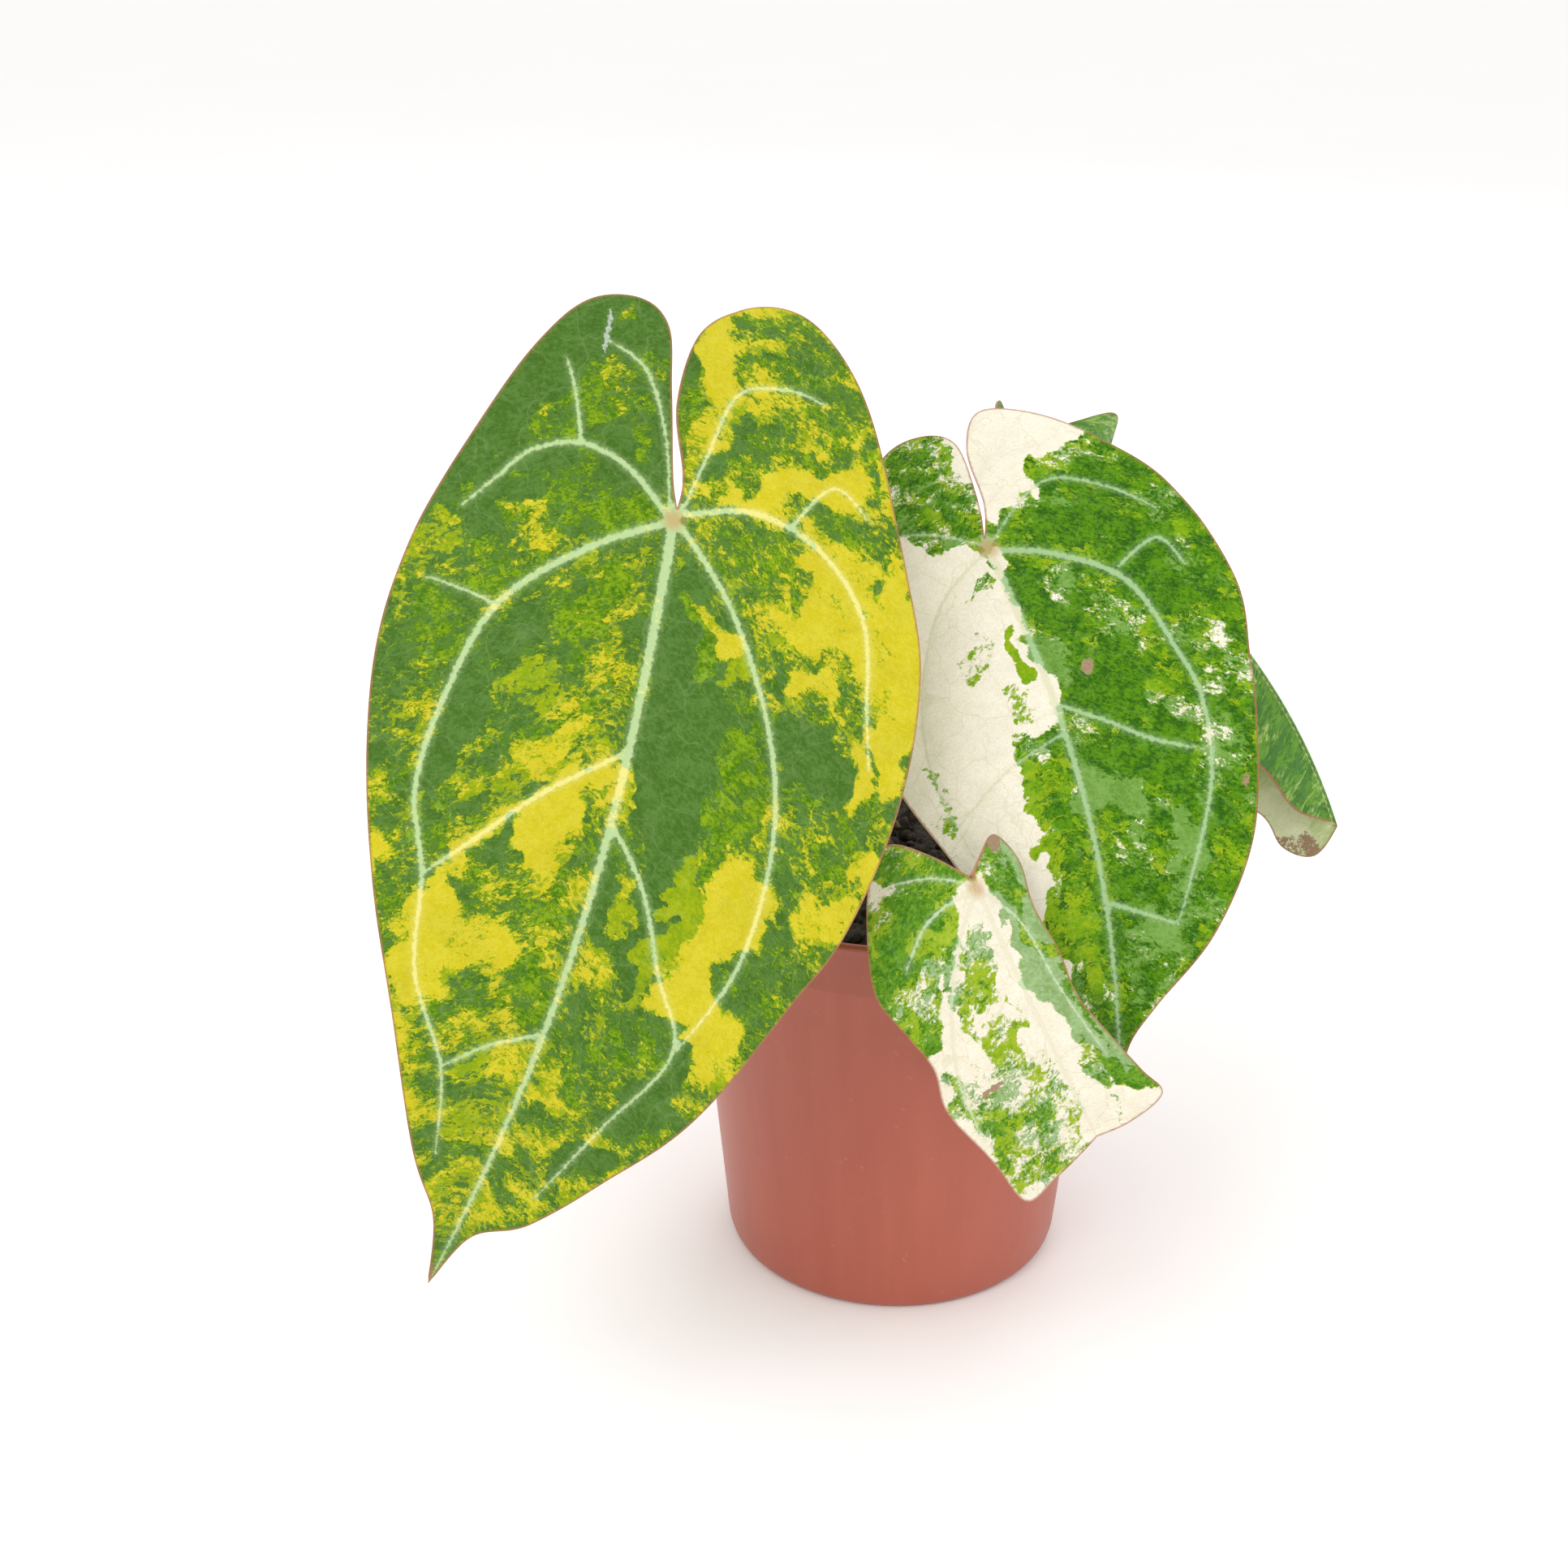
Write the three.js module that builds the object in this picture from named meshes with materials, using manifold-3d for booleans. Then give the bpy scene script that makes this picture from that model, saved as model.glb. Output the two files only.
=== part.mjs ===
// A potted crystal anthurium with variegated leaves, in a terracotta-coloured plastic nursery pot.
// Millimetres, +Z up. The origin is the centre of the underside of the pot; -Y is the plant's front.
//
// Each leaf blade is laid out flat first and then bent into place. In the flat leaf, u runs to the
// leaf's right and v from the petiole junction (0, 0) towards the tip, so the two lobes have v < 0.
// The bend droops the blade along v, curls the lobes, and folds and rolls each half about the midrib.
import * as THREE from "three";
import { mergeVertices } from "three/addons/utils/BufferGeometryUtils.js";
import Module from "manifold-3d";

const wasm = await Module();
wasm.setup();

// Driving dimensions of the pot.
const POT_HEIGHT = 116;
const RIM_RADIUS = 58;
const RIM_BAND = 14.5;
const LIP_BEAD = 1.6;
const RIM_STEP = 3.6;
const BASE_RADIUS = 45;
const BASE_ROUNDING = 3;
const WALL = 1.6;
const FLOOR = 2.4;
const FOOT_RECESS = 1.5;
const FOOT_WIDTH = 5;
const BOSS_RADIUS = 12;
const DRAIN_HOLES = 8;
const DRAIN_RADIUS = 4;
const DRAIN_CIRCLE = 27;
const POT_SIDES = 44;
const SHOULDER = POT_HEIGHT - RIM_BAND;
const BAND_FOOT = RIM_RADIUS - 0.8;

// Driving dimensions of the soil and the crown of the plant.
const SOIL_LEVEL = 109;
const SOIL_MOUND = 2.5;
const CRUMB = 1.5;
const FIT_GAP = 0.3;
const CROWN_AT = new THREE.Vector2(-13, 6);
const CROWN_DEPTH = 14;
const CROWN_RADIUS = 7;
const CROWN_HEIGHT = 21;
const ROOTS = 5;
const ROOT_RADIUS = 1.8;
const SHEATHS = 4;
const SHEATH_WIDTH = 8.4;
const SHEATH_LENGTH = 17;

// Driving dimensions that all leaves share: the thickness of the blade, its ribs and grooves, the
// height and reach of the quilting between veins, and the spacing of the points it is built from.
const BLADE = 0.8;
const RIB_DEPTH = 0.8;
const GROOVE = 0.25;
const RIB_HALF_WIDTH = 1.5;
const PILLOW = 0.9;
const PILLOW_REACH = 7;
const FOLD_FROM = -20;
const FOLD_TO = 40;
const OUTLINE_STEP = 5;
const VEIN_STEP = 5;
const FILL_STEP = 9;
const PETIOLE_RADIUS = 2.1;
const KNEE_RADIUS = 2.4;
const KNEE_LENGTH = 6;
const PETIOLE_SIDES = 8;
const PETIOLE_STEPS = 22;

// The same mixed-up fraction between 0 and 1 for the same number, for crumbs and small wobbles.
function scatter(n) {
  const x = Math.sin(n * 12.9898 + 4.137) * 43758.5453;
  return x - Math.floor(x);
}

function smooth(from, to, x) {
  const t = Math.min(1, Math.max(0, (x - from) / (to - from)));
  return t * t * (3 - 2 * t);
}

// A closed solid from a geometry, a geometry from a solid, and a geometry from bare lists.
function solidOf(geometry) {
  const bare = geometry.clone();
  for (const name of Object.keys(bare.attributes)) {
    if (name !== "position") bare.deleteAttribute(name);
  }
  const merged = mergeVertices(bare, 1e-4);
  return new wasm.Manifold(
    new wasm.Mesh({
      numProp: 3,
      vertProperties: merged.attributes.position.array,
      triVerts: new Uint32Array(merged.index.array),
    }),
  );
}

function geometryOf(solid) {
  const mesh = solid.getMesh();
  return new THREE.BufferGeometry()
    .setAttribute("position", new THREE.BufferAttribute(mesh.vertProperties, 3))
    .setIndex(new THREE.BufferAttribute(mesh.triVerts, 1));
}

function indexed(positions, triangles) {
  return new THREE.BufferGeometry()
    .setAttribute("position", new THREE.Float32BufferAttribute(positions, 3))
    .setIndex(triangles);
}

// A round stalk along a smooth route, with its own radius at each point of the route.
function stalk(route, radii, sides, steps) {
  const curve = new THREE.CatmullRomCurve3(route.map((p) => new THREE.Vector3(...p)));
  const frames = curve.computeFrenetFrames(steps, false);
  const positions = [];
  const triangles = [];
  for (let i = 0; i <= steps; i++) {
    const centre = curve.getPointAt(i / steps);
    const along = curve.getUtoTmapping(i / steps) * (radii.length - 1);
    const low = Math.min(Math.floor(along), radii.length - 2);
    const radius = THREE.MathUtils.lerp(radii[low], radii[low + 1], along - low);
    for (let k = 0; k < sides; k++) {
      const angle = (2 * Math.PI * k) / sides;
      const spoke = frames.normals[i]
        .clone()
        .multiplyScalar(radius * Math.cos(angle))
        .addScaledVector(frames.binormals[i], radius * Math.sin(angle));
      positions.push(...centre.clone().add(spoke).toArray());
    }
  }
  for (let i = 0; i < steps; i++) {
    for (let k = 0; k < sides; k++) {
      const a = i * sides + k;
      const b = i * sides + ((k + 1) % sides);
      triangles.push(a, b, b + sides, a, b + sides, a + sides);
    }
  }
  for (let k = 1; k < sides - 1; k++) {
    const last = steps * sides;
    triangles.push(0, k + 1, k, last, last + k, last + k + 1);
  }
  return indexed(positions, triangles);
}

// Pot: one thin moulded wall with a rolled lip, a straight rim band and a rounded, recessed base.
function potRadiusAt(z) {
  return THREE.MathUtils.lerp(BASE_RADIUS, RIM_RADIUS - RIM_STEP, z / SHOULDER);
}

function makePot() {
  const inside = FLOOR + FOOT_RECESS;
  const foot = BASE_RADIUS - BASE_ROUNDING;
  const profile = [
    [0, 0],
    [BOSS_RADIUS, 0],
    [BOSS_RADIUS + 1, FOOT_RECESS],
    [foot - FOOT_WIDTH, FOOT_RECESS],
    [foot - FOOT_WIDTH + 1, 0],
    [foot, 0],
    [BASE_RADIUS - BASE_ROUNDING * 0.3, BASE_ROUNDING * 0.3],
    [potRadiusAt(BASE_ROUNDING), BASE_ROUNDING],
    [potRadiusAt(SHOULDER), SHOULDER],
    [BAND_FOOT, SHOULDER],
    [BAND_FOOT, SHOULDER + 2],
    [RIM_RADIUS - 1, POT_HEIGHT - 2 * LIP_BEAD],
    [RIM_RADIUS, POT_HEIGHT - 1.5 * LIP_BEAD],
    [RIM_RADIUS, POT_HEIGHT - 0.5 * LIP_BEAD],
    [RIM_RADIUS - 0.6, POT_HEIGHT],
    [RIM_RADIUS - 1.4 * LIP_BEAD, POT_HEIGHT],
    [RIM_RADIUS - 1.6 * LIP_BEAD, POT_HEIGHT - LIP_BEAD],
    [BAND_FOOT - WALL, SHOULDER + 3],
    [potRadiusAt(SHOULDER) - WALL, SHOULDER - 2],
    [potRadiusAt(inside) - WALL, inside],
    [0, inside],
  ];
  const shell = new THREE.LatheGeometry(
    profile.map(([r, z]) => new THREE.Vector2(r, z)),
    POT_SIDES,
  ).rotateX(Math.PI / 2);
  let pot = solidOf(shell);
  for (let i = 0; i < DRAIN_HOLES; i++) {
    const angle = (2 * Math.PI * (i + 0.5)) / DRAIN_HOLES;
    const drill = new THREE.CylinderGeometry(DRAIN_RADIUS, DRAIN_RADIUS, 4 * inside, 10)
      .rotateX(Math.PI / 2)
      .translate(DRAIN_CIRCLE * Math.cos(angle), DRAIN_CIRCLE * Math.sin(angle), 0);
    pot = pot.subtract(solidOf(drill));
  }
  return geometryOf(pot);
}

// Soil: fills the pot a little below the lip, with a crumbly, slightly mounded top.
function soilHeight(x, y) {
  const r = Math.hypot(x, y);
  const calm = 1 - 0.6 * smooth(RIM_RADIUS - 14, RIM_RADIUS - 6, r);
  const lumps =
    Math.sin(0.55 * x + 1.3 * Math.sin(0.31 * y)) * Math.sin(0.49 * y + 1.1 * Math.sin(0.37 * x)) +
    0.6 * Math.sin(1.07 * x + 0.8 * y) * Math.sin(0.93 * y - 0.5 * x);
  return SOIL_LEVEL + SOIL_MOUND * (1 - (r / RIM_RADIUS) ** 2) + 0.5 * CRUMB * lumps * calm;
}

function makeSoil() {
  const rings = 13;
  const sides = POT_SIDES;
  const inset = WALL + 2 * FIT_GAP;
  const inside = FLOOR + FOOT_RECESS;
  const topRadius = BAND_FOOT - inset;
  const wallRings = [
    [potRadiusAt(inside) - inset, inside + FIT_GAP],
    [potRadiusAt(SHOULDER - 2) - inset, SHOULDER - 2],
    [topRadius, SHOULDER + 3.2],
  ];
  const positions = [0, 0, wallRings[0][1]];
  const triangles = [];
  const addRing = (radius, height) => {
    for (let k = 0; k < sides; k++) {
      const angle = (2 * Math.PI * k) / sides;
      const x = radius * Math.cos(angle);
      const y = radius * Math.sin(angle);
      positions.push(x, y, height === null ? soilHeight(x, y) : height);
    }
  };
  for (const [radius, height] of wallRings) addRing(radius, height);
  for (let i = rings; i >= 1; i--) addRing((topRadius * i) / rings, null);
  positions.push(0, 0, soilHeight(0, 0));
  const ringCount = wallRings.length + rings;
  for (let k = 0; k < sides; k++) {
    const next = (k + 1) % sides;
    triangles.push(0, 1 + next, 1 + k);
    for (let i = 0; i < ringCount - 1; i++) {
      const a = 1 + i * sides + k;
      const b = 1 + i * sides + next;
      triangles.push(a, b, b + sides, a, b + sides, a + sides);
    }
    const last = 1 + (ringCount - 1) * sides;
    triangles.push(last + k, last + next, last + sides);
  }
  const hole = new THREE.CylinderGeometry(CROWN_RADIUS + FIT_GAP, CROWN_RADIUS + FIT_GAP, 60, 16)
    .rotateX(Math.PI / 2)
    .translate(CROWN_AT.x, CROWN_AT.y, SOIL_LEVEL - CROWN_DEPTH - FIT_GAP + 30);
  return geometryOf(solidOf(indexed(positions, triangles)).subtract(solidOf(hole)));
}

// Crown: the short stem between soil and petioles, wrapped in pointed papery sheaths, with
// stubby aerial roots that reach down to the soil.
function makeCrown() {
  const foot = SOIL_LEVEL - CROWN_DEPTH;
  const top = SOIL_LEVEL + CROWN_HEIGHT;
  const stem = new THREE.LatheGeometry(
    [
      [0, foot],
      [CROWN_RADIUS, foot],
      [CROWN_RADIUS, SOIL_LEVEL + 4],
      [CROWN_RADIUS + 0.6, SOIL_LEVEL + 8],
      [CROWN_RADIUS - 0.6, SOIL_LEVEL + 13],
      [CROWN_RADIUS - 1.6, top - 4],
      [CROWN_RADIUS - 3.6, top],
      [0, top + 0.6],
    ].map(([r, z]) => new THREE.Vector2(r, z)),
    16,
  )
    .rotateX(Math.PI / 2)
    .translate(CROWN_AT.x, CROWN_AT.y, 0);
  let crown = solidOf(stem);
  for (let i = 0; i < ROOTS; i++) {
    const angle = 0.6 + (2 * Math.PI * i) / ROOTS;
    const out = (reach, z) => [
      CROWN_AT.x + reach * Math.cos(angle),
      CROWN_AT.y + reach * Math.sin(angle),
      z,
    ];
    const landing = CROWN_RADIUS + 8 + 4 * scatter(i);
    const [x, y] = out(landing, 0);
    const route = [
      out(CROWN_RADIUS - 3, SOIL_LEVEL + 8 + 2 * scatter(i + 9)),
      out(CROWN_RADIUS + 3, SOIL_LEVEL + 9),
      out(landing, soilHeight(x, y) + ROOT_RADIUS + FIT_GAP),
    ];
    crown = crown.add(solidOf(stalk(route, [ROOT_RADIUS, ROOT_RADIUS, 0.7 * ROOT_RADIUS], 6, 5)));
  }
  for (let i = 0; i < SHEATHS; i++) {
    const angle = 0.2 + (2 * Math.PI * i) / SHEATHS;
    const sheath = new THREE.ConeGeometry(SHEATH_WIDTH / 2, SHEATH_LENGTH + 3 * scatter(i + 3), 5)
      .rotateX(Math.PI / 2)
      .scale(1, 0.5, 1)
      .rotateZ(angle + Math.PI / 2)
      .translate(
        CROWN_AT.x + (CROWN_RADIUS - 2.2) * Math.cos(angle),
        CROWN_AT.y + (CROWN_RADIUS - 2.2) * Math.sin(angle),
        SOIL_LEVEL + 13,
      );
    crown = crown.add(solidOf(sheath));
  }
  return geometryOf(crown);
}

// The four leaves. junction is where the petiole meets the blade; along is the midrib's direction
// there and face the way the upper side looks. droop and curl bend the blade, in radians per mm.
// fold gives each half's turn down from the midrib, first at the lobes (v below FOLD_FROM) and then
// towards the tip (v above FOLD_TO), and roll how much that turn grows per mm away from the midrib.
// bow is how far the midrib swings to the right, and wave the height of the wavy margin.
const LEAVES = [
  {
    name: "large_yellow",
    junction: [-54.7, -49.2, 221.6],
    along: [-0.271, -0.59, -0.761],
    face: [0.17, -0.807, 0.565],
    length: 195,
    droop: 0.0038,
    curl: -0.007,
    fold: { left: [-0.13, -0.13], right: [-0.13, -0.13] },
    roll: { left: 0.0045, right: 0.0045 },
    bow: 7.5,
    wave: 1.0,
    left: [
      [0, -3], [-3, -10], [-9, -30], [-14, -46], [-22, -51], [-33, -46], [-41, -31], [-48, -8],
      [-54, 19], [-55, 44], [-50, 69], [-39, 100], [-26, 128], [-13, 158], [-4, 174], [0, 195],
    ],
    right: [
      [0, -3], [-1, -11], [-7, -27], [-7, -46], [0, -58], [10, -63], [20, -60], [32, -47], [43, -28],
      [54, -5], [64, 17], [68, 44], [65, 78], [58, 98], [45, 131], [31, 151], [18, 168], [6, 177],
      [0, 195],
    ],
    veins: [
      [[-1, 0], [-7, -18], [-16, -33], [-26, -37]],
      [[-1, 0], [-13, -8], [-25, -10], [-35, -5], [-41, 4], [-46, 12]],
      [[-25, -10], [-30, -22], [-34, -29]],
      [[-1, 1], [-17, 13], [-32, 31], [-37, 54], [-37, 75], [-30, 93], [-25, 115], [-13, 135], [-8, 157]],
      [[-32, 31], [-43, 30], [-49, 30]],
      [[5, 54], [-10, 68], [-22, 83], [-30, 93]],
      [[7, 121], [-4, 127], [-13, 135]],
      [[1, -1], [3, -17], [6, -35], [17, -40], [26, -39]],
      [[2, -2], [17, -7], [34, -3], [48, 10], [55, 30], [59, 41]],
      [[26, -7], [33, -19], [43, -14]],
      [[2, 1], [19, 17], [35, 41], [43, 65], [44, 92], [37, 114]],
      [[7, 70], [18, 82], [27, 99], [36, 116], [26, 139], [17, 161]],
    ],
  },
  {
    name: "middle_white",
    junction: [19.4, -12, 202],
    along: [0.226, -0.708, -0.669],
    face: [-0.036, -0.692, 0.721],
    length: 143,
    droop: 0.0046,
    curl: -0.007,
    fold: { left: [-0.14, -0.14], right: [-0.14, -0.14] },
    roll: { left: 0.0055, right: 0.0055 },
    bow: 7,
    wave: 1.0,
    left: [
      [0, -3], [1, -14], [0, -31], [-8, -35], [-19, -30], [-30, -12], [-37, 13], [-39, 41], [-35, 57],
      [-27, 75], [-21, 92], [-12, 114], [-2, 132], [0, 143],
    ],
    right: [
      [0, -3], [2, -12], [2, -28], [8, -39], [21, -34], [35, -22], [47, -6], [56, 22], [54, 42], [51, 58],
      [44, 84], [30, 104], [13, 118], [4, 128], [0, 143],
    ],
    veins: [
      [[1, -1], [12, -11], [21, -14], [33, -8], [42, 0]],
      [[1, 1], [15, 6], [30, 17], [37, 35], [40, 50], [36, 72], [22, 100]],
      [[29, 13], [40, 8], [45, 16]],
      [[5, 42], [16, 49], [26, 56], [37, 61]],
      [[6, 91], [15, 96], [22, 100]],
      [[-1, -1], [-12, -6], [-24, -8]],
      [[-1, 1], [-15, 13], [-25, 34], [-27, 54], [-22, 74]],
      [[5, 50], [-10, 56], [-24, 66]],
    ],
  },
  {
    name: "small_cut",
    junction: [14.2, -77, 142.8],
    along: [0.416, -0.331, -0.847],
    face: [-0.18, -0.943, 0.28],
    length: 67,
    droop: 0.0037,
    curl: -0.004,
    fold: { left: [-0.15, -0.15], right: [1.0, 0.4] },
    roll: { left: 0.012, right: 0.004 },
    bow: 0,
    wave: 0.8,
    left: [
      [0, -2], [-7, -11], [-15, -17], [-22, -12], [-28, -1], [-33, 14], [-30, 26], [-28, 36], [-30, 48],
      [-25, 64], [-22, 75], [-13, 72], [0, 67],
    ],
    right: [
      [0, -2], [5, -6], [12, -9], [15, -1], [12, 10], [12, 22], [11, 34], [14, 47], [17, 58], [19, 66],
      [9, 68], [0, 67],
    ],
    veins: [
      [[-1, -1], [-9, -6], [-18, -8]],
      [[-1, 0], [-14, 3], [-24, 12]],
      [[-1, 1], [-9, 10], [-18, 25], [-24, 42], [-25, 58]],
      [[1, 1], [7, 12], [8, 30], [11, 50]],
    ],
  },
  {
    name: "rear_folded",
    junction: [49, 67, 190],
    along: [0.848, -0.357, -0.392],
    face: [0.497, 0.28, 0.821],
    length: 118,
    droop: 0.0063,
    curl: 0.03,
    fold: { left: [0.1, 0.95], right: [-1.0, 1.35] },
    roll: { left: 0.004, right: 0.004 },
    bow: 0,
    wave: 1.2,
    left: [
      [0, -3], [-4, -14], [-10, -23], [-18, -29], [-28, -23], [-36, -5], [-38, 18], [-37, 42], [-31, 66],
      [-22, 84], [-16, 98], [-12, 111], [0, 118],
    ],
    right: [
      [0, -3], [3, -13], [9, -19], [19, -20], [32, -17], [40, -2], [42, 22], [43, 46], [41, 70],
      [34, 92], [20, 108], [17, 120], [9, 125], [0, 118],
    ],
    veins: [
      [[-1, -1], [-10, -13], [-19, -20]],
      [[-1, 1], [-18, 10], [-28, 30], [-27, 55], [-17, 82]],
      [[1, -1], [10, -9], [22, -14]],
      [[1, 1], [18, 10], [30, 30], [31, 55], [24, 84]],
    ],
  },
];

// The smooth line through a leaf's flat points, sampled about every step millimetres.
function flatLine(points, step) {
  const curve = new THREE.SplineCurve(points.map(([u, v]) => new THREE.Vector2(u, v)));
  return curve.getSpacedPoints(Math.max(2, Math.round(curve.getLength() / step)));
}

function midribAt(leaf, v) {
  const inside = Math.min(1, Math.max(0, v / leaf.length));
  return new THREE.Vector2(leaf.bow * Math.sin(Math.PI * inside), v);
}

// The bent blade: the place in space and the outward direction of the flat point (u, v).
function bladePoint(leaf, u, v) {
  const along = new THREE.Vector3(...leaf.along).normalize();
  const face = new THREE.Vector3(...leaf.face);
  face.addScaledVector(along, -face.dot(along)).normalize();
  const across = new THREE.Vector3().crossVectors(face, along);
  const rib = midribAt(leaf, v).x;
  const side = u >= rib ? "right" : "left";
  const sign = u >= rib ? 1 : -1;
  const reach = Math.abs(u - rib);
  const [atLobes, atTip] = leaf.fold[side];
  const fold = THREE.MathUtils.lerp(atLobes, atTip, smooth(FOLD_FROM, FOLD_TO, v));
  const roll = leaf.roll[side];
  const out = (Math.sin(fold + roll * reach) - Math.sin(fold)) / roll;
  const wave = leaf.wave * Math.sin(v / 9 + sign) * smooth(0.3, 1, reach / (0.3 * leaf.length));
  const rise = (Math.cos(fold + roll * reach) - Math.cos(fold)) / roll + wave;
  const bend = v >= 0 ? leaf.droop : -leaf.curl;
  return new THREE.Vector3(...leaf.junction)
    .addScaledVector(along, Math.sin(bend * v) / bend + rise * Math.sin(bend * v))
    .addScaledVector(face, -(1 - Math.cos(bend * v)) / bend + rise * Math.cos(bend * v))
    .addScaledVector(across, rib + sign * out);
}

function bladeNormal(leaf, u, v) {
  const rib = midribAt(leaf, v).x;
  const small = 0.5;
  const alongV = bladePoint(leaf, u, v + small).sub(bladePoint(leaf, u, v - small));
  const alongU =
    Math.abs(u - rib) < small
      ? bladePoint(leaf, rib + 2 * small, v).sub(bladePoint(leaf, rib - 2 * small, v))
      : bladePoint(leaf, u + small * 0.9, v).sub(bladePoint(leaf, u - small * 0.9, v));
  return new THREE.Vector3().crossVectors(alongV, alongU).normalize();
}

function distanceToLine(point, line) {
  let nearest = Infinity;
  for (let i = 0; i < line.length - 1; i++) {
    const span = line[i + 1].clone().sub(line[i]);
    const t = point.clone().sub(line[i]).dot(span) / span.lengthSq();
    const foot = line[i].clone().addScaledVector(span, Math.min(1, Math.max(0, t)));
    nearest = Math.min(nearest, foot.distanceTo(point));
  }
  return nearest;
}

function isInside(point, outline) {
  let inside = false;
  for (let i = 0, j = outline.length - 1; i < outline.length; j = i++) {
    const a = outline[i];
    const b = outline[j];
    const crosses = a.y > point.y !== b.y > point.y;
    if (crosses && point.x < ((b.x - a.x) * (point.y - a.y)) / (b.y - a.y) + a.x) inside = !inside;
  }
  return inside;
}

// Delaunay triangles of flat points: each new point replaces the triangles whose circle holds it.
function triangulate(points) {
  const far = 2000;
  const all = [
    ...points,
    new THREE.Vector2(-far, -far),
    new THREE.Vector2(far, -far),
    new THREE.Vector2(0, far),
  ];
  const n = points.length;
  const withCircle = (a, b, c) => {
    const [p, q, r] = [all[a], all[b], all[c]];
    const d = 2 * (p.x * (q.y - r.y) + q.x * (r.y - p.y) + r.x * (p.y - q.y));
    const x =
      (p.lengthSq() * (q.y - r.y) + q.lengthSq() * (r.y - p.y) + r.lengthSq() * (p.y - q.y)) / d;
    const y =
      (p.lengthSq() * (r.x - q.x) + q.lengthSq() * (p.x - r.x) + r.lengthSq() * (q.x - p.x)) / d;
    return { corners: [a, b, c], x, y, square: (p.x - x) ** 2 + (p.y - y) ** 2 };
  };
  let triangles = [withCircle(n, n + 1, n + 2)];
  for (let i = 0; i < n; i++) {
    const holds = (t) => (points[i].x - t.x) ** 2 + (points[i].y - t.y) ** 2 < t.square;
    const rim = new Map();
    for (const t of triangles.filter(holds)) {
      t.corners.forEach((a, k) => {
        const b = t.corners[(k + 1) % 3];
        if (!rim.delete(b + "," + a)) rim.set(a + "," + b, [a, b]);
      });
    }
    triangles = triangles.filter((t) => !holds(t));
    for (const [a, b] of rim.values()) triangles.push(withCircle(a, b, i));
  }
  return triangles.map((t) => t.corners).filter((corners) => corners.every((c) => c < n));
}

// The flat points of one half: its margin, the shared midrib, the veins with a point on either
// flank, and an even filling, each kept only where no earlier point is too near.
function halfPoints(leaf, side, midrib, veins) {
  const margin = flatLine(leaf[side], OUTLINE_STEP);
  const outline = [...margin, ...midrib.slice(1, -1).reverse()];
  const points = [...margin.slice(1, -1), ...midrib];
  const add = (point, clearance) => {
    if (!isInside(point, outline)) return;
    if (distanceToLine(point, [...outline, outline[0]]) < clearance) return;
    if (points.every((p) => p.distanceTo(point) > clearance)) points.push(point);
  };
  const sign = side === "left" ? -1 : 1;
  for (const p of midrib) add(new THREE.Vector2(p.x + sign * RIB_HALF_WIDTH, p.y), 1);
  for (const vein of veins) for (const p of vein) add(p, 1.2);
  for (const vein of veins) {
    vein.forEach((p, i) => {
      const next = vein[Math.min(i + 1, vein.length - 1)];
      const last = vein[Math.max(i - 1, 0)];
      const normal = next.clone().sub(last).normalize().multiplyScalar(RIB_HALF_WIDTH);
      add(new THREE.Vector2(p.x - normal.y, p.y + normal.x), 1.2);
      add(new THREE.Vector2(p.x + normal.y, p.y - normal.x), 1.2);
    });
  }
  for (let row = -10; row * FILL_STEP * 0.87 < leaf.length + 20; row++) {
    for (let column = -10; column <= 10; column++) {
      const u = (column + (row % 2 ? 0.5 : 0)) * FILL_STEP;
      add(new THREE.Vector2(u, row * FILL_STEP * 0.87), FILL_STEP * 0.45);
    }
  }
  return { points, outline };
}

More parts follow.
